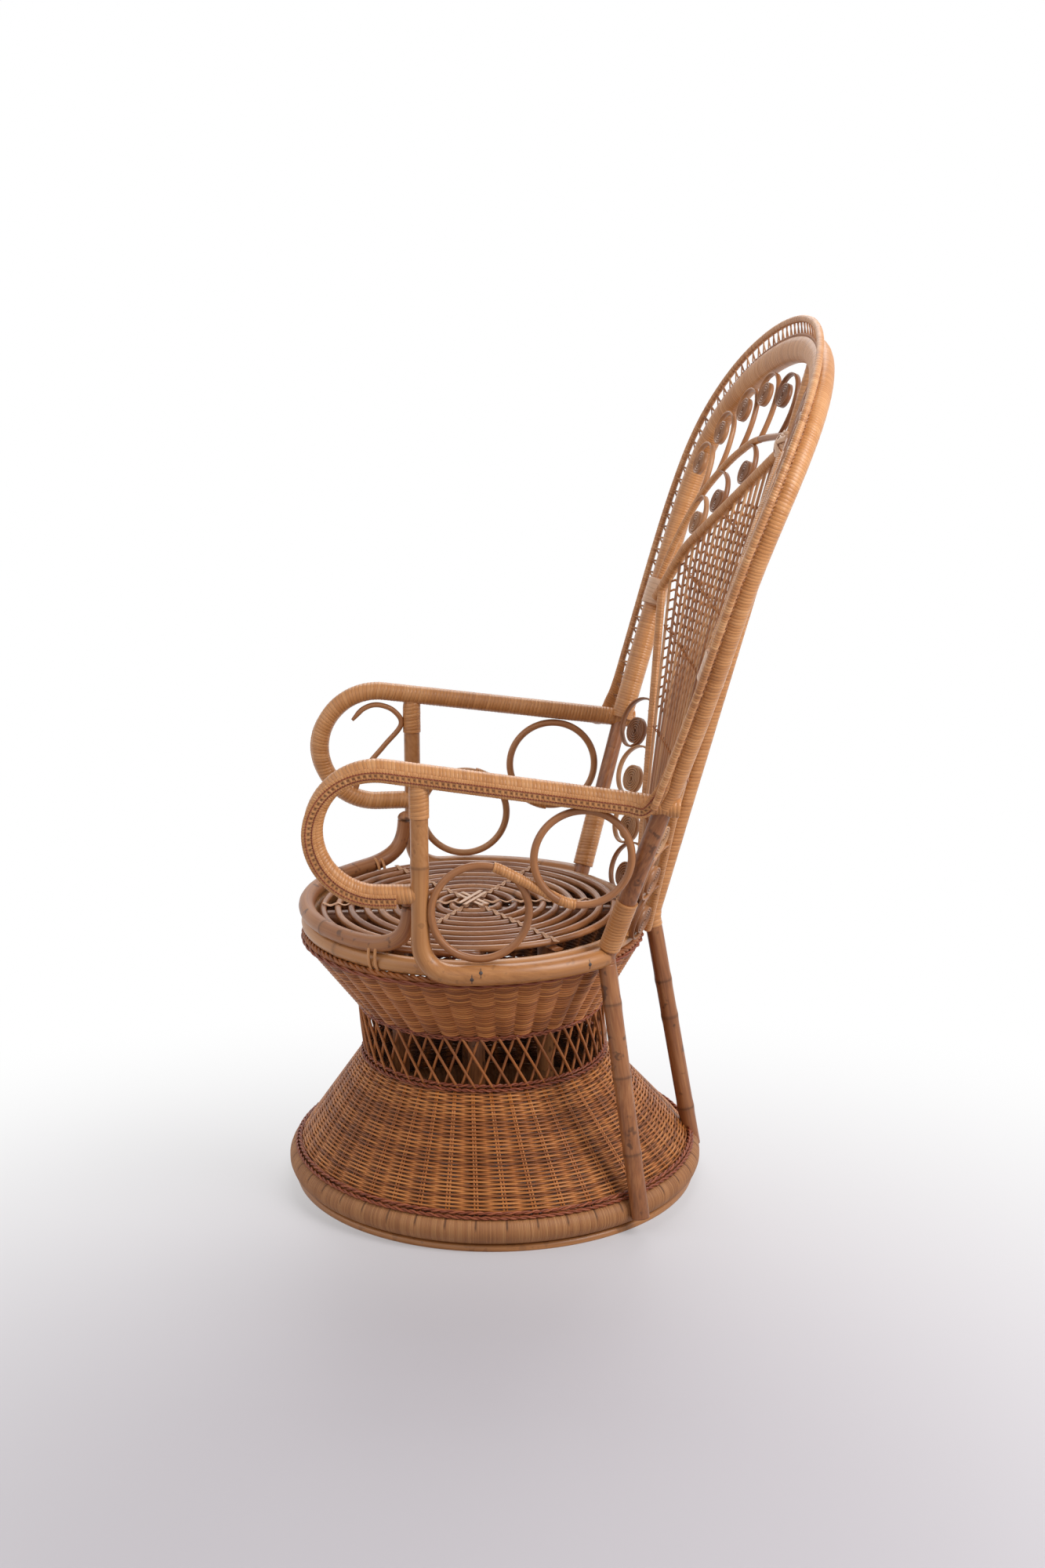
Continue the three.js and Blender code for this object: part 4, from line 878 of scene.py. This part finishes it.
# %% [markdown]
# ## Hoop and lacy edge
# The hoop is an oval bundle wound with flat cane. Outside and in front of it a thin rim is held
# off by about a hundred little loops of cane, which read as lace.

# %% Hoop and lace
hoop_line = on_edge(np.linspace(0, 1, 700), 0, 0)
hoop = wound(hoop_line, 15.8, 20.0, 4.2, BACK_REAR, proud=0.34, sides=20)
dress("back_hoop", "winding", [hoop], winding)

RIM_OUT, RIM_AHEAD = 36.0, 18.0
LOOP_FROM, LOOP_TO = 16.0, 34.0
rim_line = on_edge(np.linspace(0.004, 0.996, 900), RIM_OUT, RIM_AHEAD)
rim = wound(rim_line, 5.0, 5.0, 3.6, BACK_REAR, sides=10)
LOOPS = 94
first = (np.arange(LOOPS) + 0.3)[:, None] / LOOPS
share = np.linspace(0, 1, 9)[None]
out = mix(LOOP_FROM, LOOP_TO, share)
going = on_edge(first + eased(share) * 0.5 / LOOPS, out, mix(8.0, 17.5, share))
coming = on_edge(first + (0.52 - 0.02 * eased(share)) / LOOPS, out, mix(8.5, 19.0, share))
loops = [strands(paths, ring(1.1, 1.6, 6), BACK_REAR) for paths in (going, coming)]
along_hoop = np.linspace(0.006, 0.994, 1500)
roots = [twist(on_edge(along_hoop, out, ahead), 2, wrap, 150, size, BACK_REAR, loop=False)
         for out, ahead, wrap, size in ((15.5, 9.5, 1.6, 1.7), (5.0, 12.8, 1.2, 1.3))]
make("lace_rim", [rim], rim_cane, ["trim_lace"])
make("lace_loops", loops, curled, ["trim_lace"])
make("lace_roots", roots, curled)

# %% [markdown]
# ## The arms' braid
# Along each arm's outer side runs a flat band with a row of small holes, shallow dents darkened
# with painted shade, between two red-brown cords. At the rear it bends up and becomes the foot of
# the lace, so its line starts there.

# %% Braid from the lace to the arm's loop
HOLE_DEPTH = 1.6


def braid_line(side):
    """Three points up the lace and three on the arm, rounded off, then the rest of the arm."""
    along_arm = arm_line(side, ARM_SIZE + 1.2, 6.0, -6.0, 700)[46:-30]
    up_lace = np.array([0.05, 0.034, 0.018])
    on_lace = on_edge(1 - up_lace if side > 0 else up_lace, 31.0, 17.0)
    bend = smooth(np.vstack([on_lace, along_arm[[0, 20, 40]]]), 24)
    return spaced(np.vstack([bend, along_arm[41:]]), 780)


def arm_braid(side):
    """A flat wound band; the middle of every second turn is pushed in and darkened with painted
    shade as a hole.
    """
    line = braid_line(side)
    outward = ACROSS * side
    taper = lambda share: np.interp(share, [0, 0.09], [0.5, 1])
    band = wound(line, 2.4, 9.5, 3.6, outward, proud=0.4, sides=20, girth=taper)
    turn, phase = np.divmod(np.arange(band["at"].shape[1]), len(PHASES))
    hole_dent_and_shade = np.zeros(band["at"].shape[:3])
    hole_dent_and_shade[0, (turn % 2 == 0) & (phase > 0), 0] = 1.0
    band["at"] = band["at"] - HOLE_DEPTH * hole_dent_and_shade[..., None] * outward
    # The holes' darkness is painted shade.
    band["stain_and_shade"] = np.clip(band["stain_and_shade"] + hole_dent_and_shade, 0, 1)
    lift, across = frames(line, outward)
    width = taper(np.linspace(0, 1, len(line)))[:, None]
    cords = [twist(line + width * (1.9 * lift + o * across), 2, 0.6, 100, 0.7, outward, loop=False)
             for o in (-4.2, 4.2)]
    return band, cords


for name, side in SIDES:
    band_part, cord_parts = arm_braid(side)
    make(f"arm_{name}_braid", [band_part], winding, [f"arm_trim_{name}"])
    make(f"arm_{name}_stitches", cord_parts, dyed)

# %% [markdown]
# ## Spine and fan
# The spine stands on the base ring, passes behind the seat and is tied behind the hoop. It is
# wound as far down as the seat. The fan spreads from the seat's rim to a chevron of wound cane.
# Its rays are straight thin canes, held by five twined rows, and fine wefts zigzag behind its
# upper part.

# %% Spine
SPINE_FOOT, SPINE_SEAT = np.array([0, 292.0, 24.0]), np.array([0, 226.6, SEAT_Z])
SPINE_TOP = on_back(0.0, 592.0, hoop_dish(0) + 15.0)
spine_line = spaced(smooth([SPINE_FOOT, mix(SPINE_FOOT, SPINE_SEAT, 0.86), SPINE_SEAT + (0, 1.5, 0),
                            mix(SPINE_SEAT, SPINE_TOP, 0.08), SPINE_TOP], 60), 500)
high_spine = spine_line[spine_line[:, 2] > 362.0]
dress("spine", "winding", [wound(high_spine, 13.0, 13.0, 5.4, ACROSS, sides=16)], winding)
low_spine = spine_line[spine_line[:, 2] < 370.0]
dress("spine", "pole", [bare(low_spine, 12.0, ACROSS, (60, 205, 262))], stained)

# %% Chevron, fan sides and branches
CHEVRON_APEX, KNEE, KNEE_UP, END, END_UP = 476.0, 222.0, 278.0, 262.0, 190.0
FAN_FOOT, FAN_FOOT_REACH, FAN_FOOT_Z, FAN_HEAD = 60.0, 244.3, 378.0, 254.0
BRANCH_STOPS = np.array([(277.3, 190), (275.3, 252), (262, 306), (236, 362), (192, 411), (150, 444),
                         (104, 468), (12, 491)])


def chevron_up(x):
    """Straight from the apex to the knee, then steeper to the end beside the hoop."""
    return np.interp(np.abs(x), [0, KNEE, END], [CHEVRON_APEX, KNEE_UP, END_UP])


def fan_foot(x, radius):
    """On a circle just behind the seat ring: y = centre + sqrt(reach^2 - x^2)."""
    y = SEAT_Y + np.sqrt((FAN_FOOT_REACH + radius) ** 2 - np.square(x))
    return np.stack(np.broadcast_arrays(x, y, FAN_FOOT_Z), -1)


def chevron_at(x):
    """The point of the dish on the chevron's line."""
    return on_dish(x, chevron_up(x))


for name, side in SIDES:
    x = np.concatenate([np.linspace(2, 200, 12), [214.0, 224.0, 234.0, 248.0, END]])
    ups = np.interp(x, [0, 200, 214, 224, 234, END], [CHEVRON_APEX, 297.6, 284, 271, 251, END_UP])
    rail = spaced(smooth(on_dish(side * x, ups), 8), 240)
    make(f"fan_chevron_{name}", [wound(rail, 8.0, 8.0, 4.0, BACK_REAR)], winding,
         ["fan_chevron"])
    edge = np.linspace(fan_foot(side * FAN_FOOT, 7.0), chevron_at(side * FAN_HEAD), 240)
    dress(f"fan_side_{name}", "winding", [wound(edge, 6.2, 6.2, 4.4, BACK_REAR)], winding)
    bough = spaced(smooth(on_dish(side * BRANCH_STOPS[:, 0], BRANCH_STOPS[:, 1]), 20), 240)
    out = np.abs(bough[:, 0])
    dress(f"branch_{name}", "winding",
          [wound(bough[out > 96.0], 5.4, 5.4, 3.6, BACK_REAR, sides=12)], winding)
    make(f"branch_{name}_cane", [bare(bough[out < 100.0], 4.9, BACK_REAR, sides=12)], curled)

# %% Fan rays and rows
RAYS, ROW_RISE, WEFT_PITCH = 18, 0.29, 13.5
ray = np.arange(RAYS) / (RAYS - 1)
ray_low, ray_high = mix(16.0, 54.0, ray), mix(10.0, 241.0, ray)


def ray_ends(side):
    """The foot of every ray on one side, and the way from there to its head."""
    low = fan_foot(side * ray_low, 2.6)
    return low, chevron_at(side * ray_high) - low


def fan_row(z, behind, rise=0.0, wave=0.0):
    """Where each ray reaches height z + rise * its way out from the middle, moved behind the rays.
    A wave takes the line through the gaps instead, high in one and low in the next."""
    stops = []
    for side in (-1, 1):
        low, gain = ray_ends(side)
        part = (z + rise * side * low[:, 0] - low[:, 2]) / (gain[:, 2] - rise * side * gain[:, 0])
        crossing = (low + gain * part[:, None])[part < 0.985]
        stops.append(crossing[::-1] if side < 0 else crossing)
    stops = np.vstack(stops) + behind * BACK_REAR
    if wave:
        sign = np.where(np.arange(len(stops) - 1) % 2, -1.0, 1.0)[:, None]
        gaps = (stops[1:] + stops[:-1]) / 2 + wave * sign * BACK_UP
        stops = np.vstack([stops[:1], gaps, stops[-1:]])
    return spaced(smooth(stops, 10), 240), len(stops)


along_ray = np.linspace(0, 1, 12)[None, :, None]
ray_lines = [low[:, None] + gain[:, None] * along_ray for low, gain in map(ray_ends, (1, -1))]
rays = strands(np.concatenate(ray_lines), ring(2.3, 2.3, 8), BACK_REAR)
make("fan_rays", [rays], curled, ["fan_panel"])

rows = []
for z in (470.0, 578.0, 702.0, 794.0, 905.0):
    line, crossings = fan_row(z, 0.0, ROW_RISE)
    rows.append(twist(line, 2, 2.9, crossings / 2, 0.9, BACK_REAR, loop=False))
wefts = [strands(fan_row(z, 2.6, wave=WEFT_PITCH / 4)[0], ring(1.0, 2.0, 6), BACK_REAR)
         for z in np.arange(650.0, 965.0, WEFT_PITCH)]
make("fan_rows", rows + wefts, woven, ["fan_panel"])

# %% [markdown]
# The chevron's apex is bound to the spine by a fat knot of strips, and each end of it is bound to
# the hoop and the branch by one broad pale binding.

# %% Knot and bindings
knot_middle = on_dish(0.0, CHEVRON_APEX)
knot_line = np.linspace(knot_middle - 18 * BACK_UP, knot_middle + 21 * BACK_UP, 40)
bulge = lambda s: 0.78 + 0.3 * np.sin(np.pi * np.clip(s, 0, 1))
knot = wound(knot_line, 13.0, 16.5, 4.2, BACK_REAR, proud=0.8, sides=18, girth=bulge)
k = np.linspace(-1, 1, 9)[:, None]
bowed = (1 - 0.6 * k**2) * BACK_REAR
sash_lines = [knot_middle + k * (19 * ACROSS + rise * BACK_UP) - ahead * bowed
              for rise, ahead in ((13.0, 14.6), (-13.0, 15.2))]
sashes = strands(np.array(sash_lines), ring(1.2, 5.0, 8), -BACK_REAR, tone=0.8)
dress("fan_knot", "binding", [knot, sashes], pale_binding)

BINDING_LOW, BINDING_HIGH = 176.0, 214.0
bindings = []
for side in (1, -1):
    level = np.linspace(BINDING_LOW, BINDING_HIGH, 30)
    middle = side * np.interp(level, [BINDING_LOW, BINDING_HIGH], [287.0, 293.0])
    ahead = 1.0 if side > 0 else 7.0
    line = on_back(middle, level, hoop_dish(middle) - shoulder(middle, level) - ahead)
    bindings.append(wound(line, 17.4, 29.0, 6.2, BACK_REAR, sides=22))
make("chevron_end_bindings", bindings, pale_binding)

# %% [markdown]
# ## Curls
# Each curl is one strip on edge: an even spiral for the coil, whose radius then grows faster than
# the angle as it opens into a loop, and a last bend down to the cane that carries it.

# %% Curl shapes
CURL_HEART, CURL_TURN_STEPS, COIL_END = 2.2, 22, -90


def curl_line(hand, open_to, loop, foot, coil=17.0, spread=1.7, winds=4):
    """radius = even growth to coil + (loop - coil) * opening^spread, then a stem to the foot."""
    start = COIL_END - winds * 360
    angle = np.concatenate([np.linspace(start, COIL_END, winds * CURL_TURN_STEPS, endpoint=False),
                            np.linspace(COIL_END, open_to, 26)])
    radius = mix(CURL_HEART, coil, np.minimum((angle - start) / (COIL_END - start), 1))
    opening = np.maximum((angle - COIL_END) / (open_to - COIL_END), 0)
    radius = radius + (loop - coil) * opening**spread
    turned = np.radians(angle if hand > 0 else 180 - angle)
    spiral = np.stack([radius * np.cos(turned), radius * np.sin(turned)], -1)
    way = unit(spiral[-1] - spiral[-2])
    foot = np.asarray(foot, float)
    bend_at = spiral[-1] + way * 0.45 * np.linalg.norm(foot - spiral[-1])
    stem = quadratic(spiral[-1], bend_at, foot, np.linspace(0, 1, 14)[1:, None])
    return np.vstack([spiral, stem])


STRIP = np.array([[-3.6, -1.35], [3.6, -1.35], [4.1, 0], [3.6, 1.35], [-3.6, 1.35], [-4.1, 0]])


def curl_skin(centre, out, up, line):
    """The flat line laid on the axes out and up, with the strip standing square to both."""
    path = centre + line[:, :1] * out + line[:, 1:] * up
    reach = reach_of(path)
    # Darker towards the heart of the coil.
    coil_heart_darkening = np.interp(reach / reach[-1], [0, 0.25, 0.6, 1], [0.35, 0.2, 0.05, 0.05])
    return strands(path, STRIP, np.cross(out, up), tone=rng.random(1), stain_and_shade=coil_heart_darkening[None])

# %% Curls above and below the branches
TOP_CURLS = [((72, 540), (34, 487)), ((140, 531), (98, 470)), ((196, 499), (155, 440)),
             ((250, 455), (206, 398)), ((288, 401), (240, 354))]
LOW_CURLS = [(106, (134, 452)), (168, (200, 403)), (217, (250, 332))]
LOW_RISE = 28.3 / np.cos(np.arctan2(CHEVRON_APEX - KNEE_UP, KNEE))

for name, side in SIDES:
    outward = unit(np.array([side, 0, 0]) - DISH_SLOPE * BACK_REAR)
    for k, (coil_at, stem_at) in enumerate(TOP_CURLS, 1):
        line = curl_line(1, 180, 44, np.subtract(stem_at, coil_at))
        part = curl_skin(on_dish(side * coil_at[0], coil_at[1]), outward, BACK_UP, line)
        dress(f"top_curl_{name}_{k}", "strip", [part], curled)
    for k, (x, stem_at) in enumerate(LOW_CURLS, 1):
        up = float(chevron_up(x) + LOW_RISE)
        line = curl_line(-1, 90, 38, np.subtract(stem_at, (x, up)))
        part = curl_skin(on_dish(side * x, up), outward, BACK_UP, line)
        dress(f"low_curl_{name}_{k}", "strip", [part], curled)

# %% Side curls
SIDE_CURLS, SIDE_OFFSET, SIDE_PITCH, SIDE_LEAN = 4, 36.0, 73.0, 0.16
for name, side in SIDES:
    low, high = fan_foot(side * FAN_FOOT, 8.0), chevron_at(side * (FAN_HEAD + 0.14))
    along = unit(high - low)
    square = lambda v: v - (v @ along) * along
    outward = unit(square(ARM_END * (side, 1, 1) - low))
    outward = unit(outward - SIDE_LEAN * square(BACK_REAR))
    starts = 0.55 * np.linalg.norm(high - low) - np.arange(SIDE_CURLS) * SIDE_PITCH
    line = curl_line(1, 135, 54.5, (-SIDE_OFFSET + 6, 26.0), coil=21.0, spread=1.0, winds=5)
    parts = [curl_skin(low + s * along + SIDE_OFFSET * outward, outward, along, line)
             for s in starts]
    dress(f"side_curls_{name}", "strips", parts, curled)

# %% [markdown]
# ## Small ties and nails
# Where poles meet at the seat's rim they are nailed and tied. A nail head is a shallow dome: a
# few rings, each lower than the one inside it.

# %% Ties and nails
def dome(centre, out, size, height):
    """Rings of a share of size, each lifted by its share of height; the last is in the wood."""
    share = np.array([0.02, 0.35, 0.7, 0.92, 1.0, 1.0])
    lifts = np.array([1.0, 0.9, 0.6, 0.25, 0.0, -1.2]) * height
    guide = UP if abs(out[2]) < 0.9 else ACROSS
    side = unit(np.cross(guide, out))
    other = np.cross(out, side)
    t = np.arange(12) / 12 * TURN
    flat = np.cos(t)[:, None] * side + np.sin(t)[:, None] * other
    at = centre + share[:, None, None] * size * flat[None] + lifts[:, None, None] * out
    return skin(at[None, ::-1], np.linspace(0, size, len(share))[None] * MM)


NAIL_SIZE, NAIL_HEIGHT = 2.6, 0.9
TIE_RADIUS, TIE_Z, TIE_WIDE, TIE_TALL = 233.0, 393.5, 14.6, 24.5
nails, ties = [], []
around = np.linspace(0, TURN, 60, endpoint=False)[:, None]
for side in (1, -1):
    radial_at = lambda at: rim_point(side, at, 1.0, 0.0) - rim_point(side, at, 0.0, 0.0)
    for degrees, tilt in ((-2.8, -0.1), (-0.3, 0.55), (32.7, 0.1)):
        radial = unit(radial_at(degrees))
        out = unit(np.cos(tilt) * radial + np.sin(tilt) * UP)
        middle = rim_point(side, degrees, RUN_RADIUS, SEAT_Z)
        nails.append(dome(middle + (RUN_SIZE - 0.1) * out, out, NAIL_SIZE, NAIL_HEIGHT))
        bend = tilt + np.linspace(-0.5, 0.5, 12)[:, None]
        crack = middle + RUN_SIZE * (np.cos(bend) * radial + np.sin(bend) * UP)
        nails.append(strands(crack, ring(0.2, 0.5, 6), crack - middle))
    for degrees in (-37.0, -34.5):
        middle = rim_point(side, degrees, TIE_RADIUS, TIE_Z)
        spoke = TIE_WIDE * np.cos(around) * radial_at(degrees) + TIE_TALL * np.sin(around) * UP
        ties.append(strands(middle + spoke, ring(1.0, 2.6, 6), spoke, loop=True, tone=0.45))
make("rim_nails", nails, iron)
make("rim_ties", ties, winding)

# %% [markdown]
# ## Floor and light
# The studio is white. Five broad lamps light the chair: two from its left rear, one from its
# right, one from its front and a fill beside the camera. The floor is pale and keeps the shadow
# near the chair; further off it glows white, a painted light that also washes out the lamps'
# shadows there. That glow and the white sky are only for rays that look at the floor or the sky:
# the rays that light the chair find a darker room, so its shadows stay.

# %% Floor
FLOOR_SPAN = 14.0
GREY_MIDDLE, GREY_UNTIL, WHITE_FROM = (1000.0, -50.0, 0.0), 0.3, 1.7


def seen_rays(tree):
    """1 for rays that look at a surface, straight or by mirror or glass; 0 for those that light."""
    kinds = node(tree, "LightPath", {})
    looks = [kinds[f"Is {kind} Ray"] for kind in ("Camera", "Glossy", "Transmission")]
    return clamped(tree, added(tree, *looks))


def distance_from(tree, place, point):
    """Metres from a point that is given in millimetres about the base ring."""
    return node(tree, "VectorMath", {0: place, 1: to_frame(point)}, operation="DISTANCE")["Value"]


floor_mesh = bpy.data.meshes.new("floor")
corners = [(x * FLOOR_SPAN, y * FLOOR_SPAN, 0) for x, y in ((-1, -1), (1, -1), (1, 1), (-1, 1))]
floor_mesh.from_pydata(corners, [], [(0, 1, 2, 3)])
floor = bpy.data.objects.new("floor", floor_mesh)
bpy.context.scene.collection.objects.link(floor)
floor_finish = bpy.data.materials.new("studio_floor")
floor_finish.use_nodes = True
tree = floor_finish.node_tree
shader = tree.nodes["Principled BSDF"]
feed(tree, shader, {"Base Color": (0.53, 0.50, 0.53, 1), "Roughness": 0.6})
place = node(tree, "TexCoord", {})["Object"]
# Painted light: outside the base ring the floor glows white for looking rays, from GREY_UNTIL
# metres off GREY_MIDDLE to full at WHITE_FROM.
far = node(tree, "MapRange", {"Value": distance_from(tree, place, GREY_MIDDLE),
                              "From Min": GREY_UNTIL, "From Max": WHITE_FROM},
           interpolation_type="SMOOTHSTEP")[0]
from_chair = distance_from(tree, place, (0, 0, 0))
outside = arithmetic(tree, "GREATER_THAN", from_chair, RING_RADIUS * MM)
painted_glow_share = times(tree, far, times(tree, seen_rays(tree), outside))
white_glow = node(tree, "Emission", {"Color": (1, 1, 1, 1)})[0]
fade = node(tree, "MixShader", {0: painted_glow_share, 1: shader.outputs[0], 2: white_glow})[0]
feed(tree, tree.nodes["Material Output"], {"Surface": fade})
floor_mesh.materials.append(floor_finish)
print("floor laid")

# %% World and lamps
ROOM_LIGHT = 0.3
scene = bpy.context.scene
scene.view_settings.view_transform = "Standard"
world = scene.world or bpy.data.worlds.new("studio")
scene.world = world
world.use_nodes = True
tree = world.node_tree
level = added(tree, times(tree, seen_rays(tree), 1 - ROOM_LIGHT), ROOM_LIGHT)
feed(tree, tree.nodes["Background"], {"Color": (1, 1, 1, 1), "Strength": level})


def lamp(name, at, aim, size, power):
    """A square soft lamp at a point, turned to face another."""
    data = bpy.data.lights.new(name, "AREA")
    data.size, data.energy = size, power
    made_lamp = bpy.data.objects.new(name, data)
    made_lamp.location = at
    way = Vector(aim) - Vector(at)
    made_lamp.rotation_euler = way.to_track_quat("-Z", "Y").to_euler()
    scene.collection.objects.link(made_lamp)


lamp("key_softbox", (1.3, 1.7, 2.4), (0, 0, 0.6), 1.2, 44)
lamp("side_softbox", (1.3, 1.9, 1.5), (0, 0.3, 0.9), 1.0, 18)
lamp("front_softbox", (0.6, -2.6, 2.0), (0, 0.2, 0.8), 2.2, 20)
lamp("back_softbox", (-2.2, 0.3, 2.6), (0, 0, 0.5), 2.0, 40)
lamp("camera_fill", (2.6, -1.6, 2.2), (0, 0, 0.6), 2.4, 16)
print("lamps:", len(bpy.data.lights))

# %% [markdown]
# ## Triangles
# The triangles of all the dressed pieces are added up.

# %% Finish
print("triangles in all:", sum(made.values()))
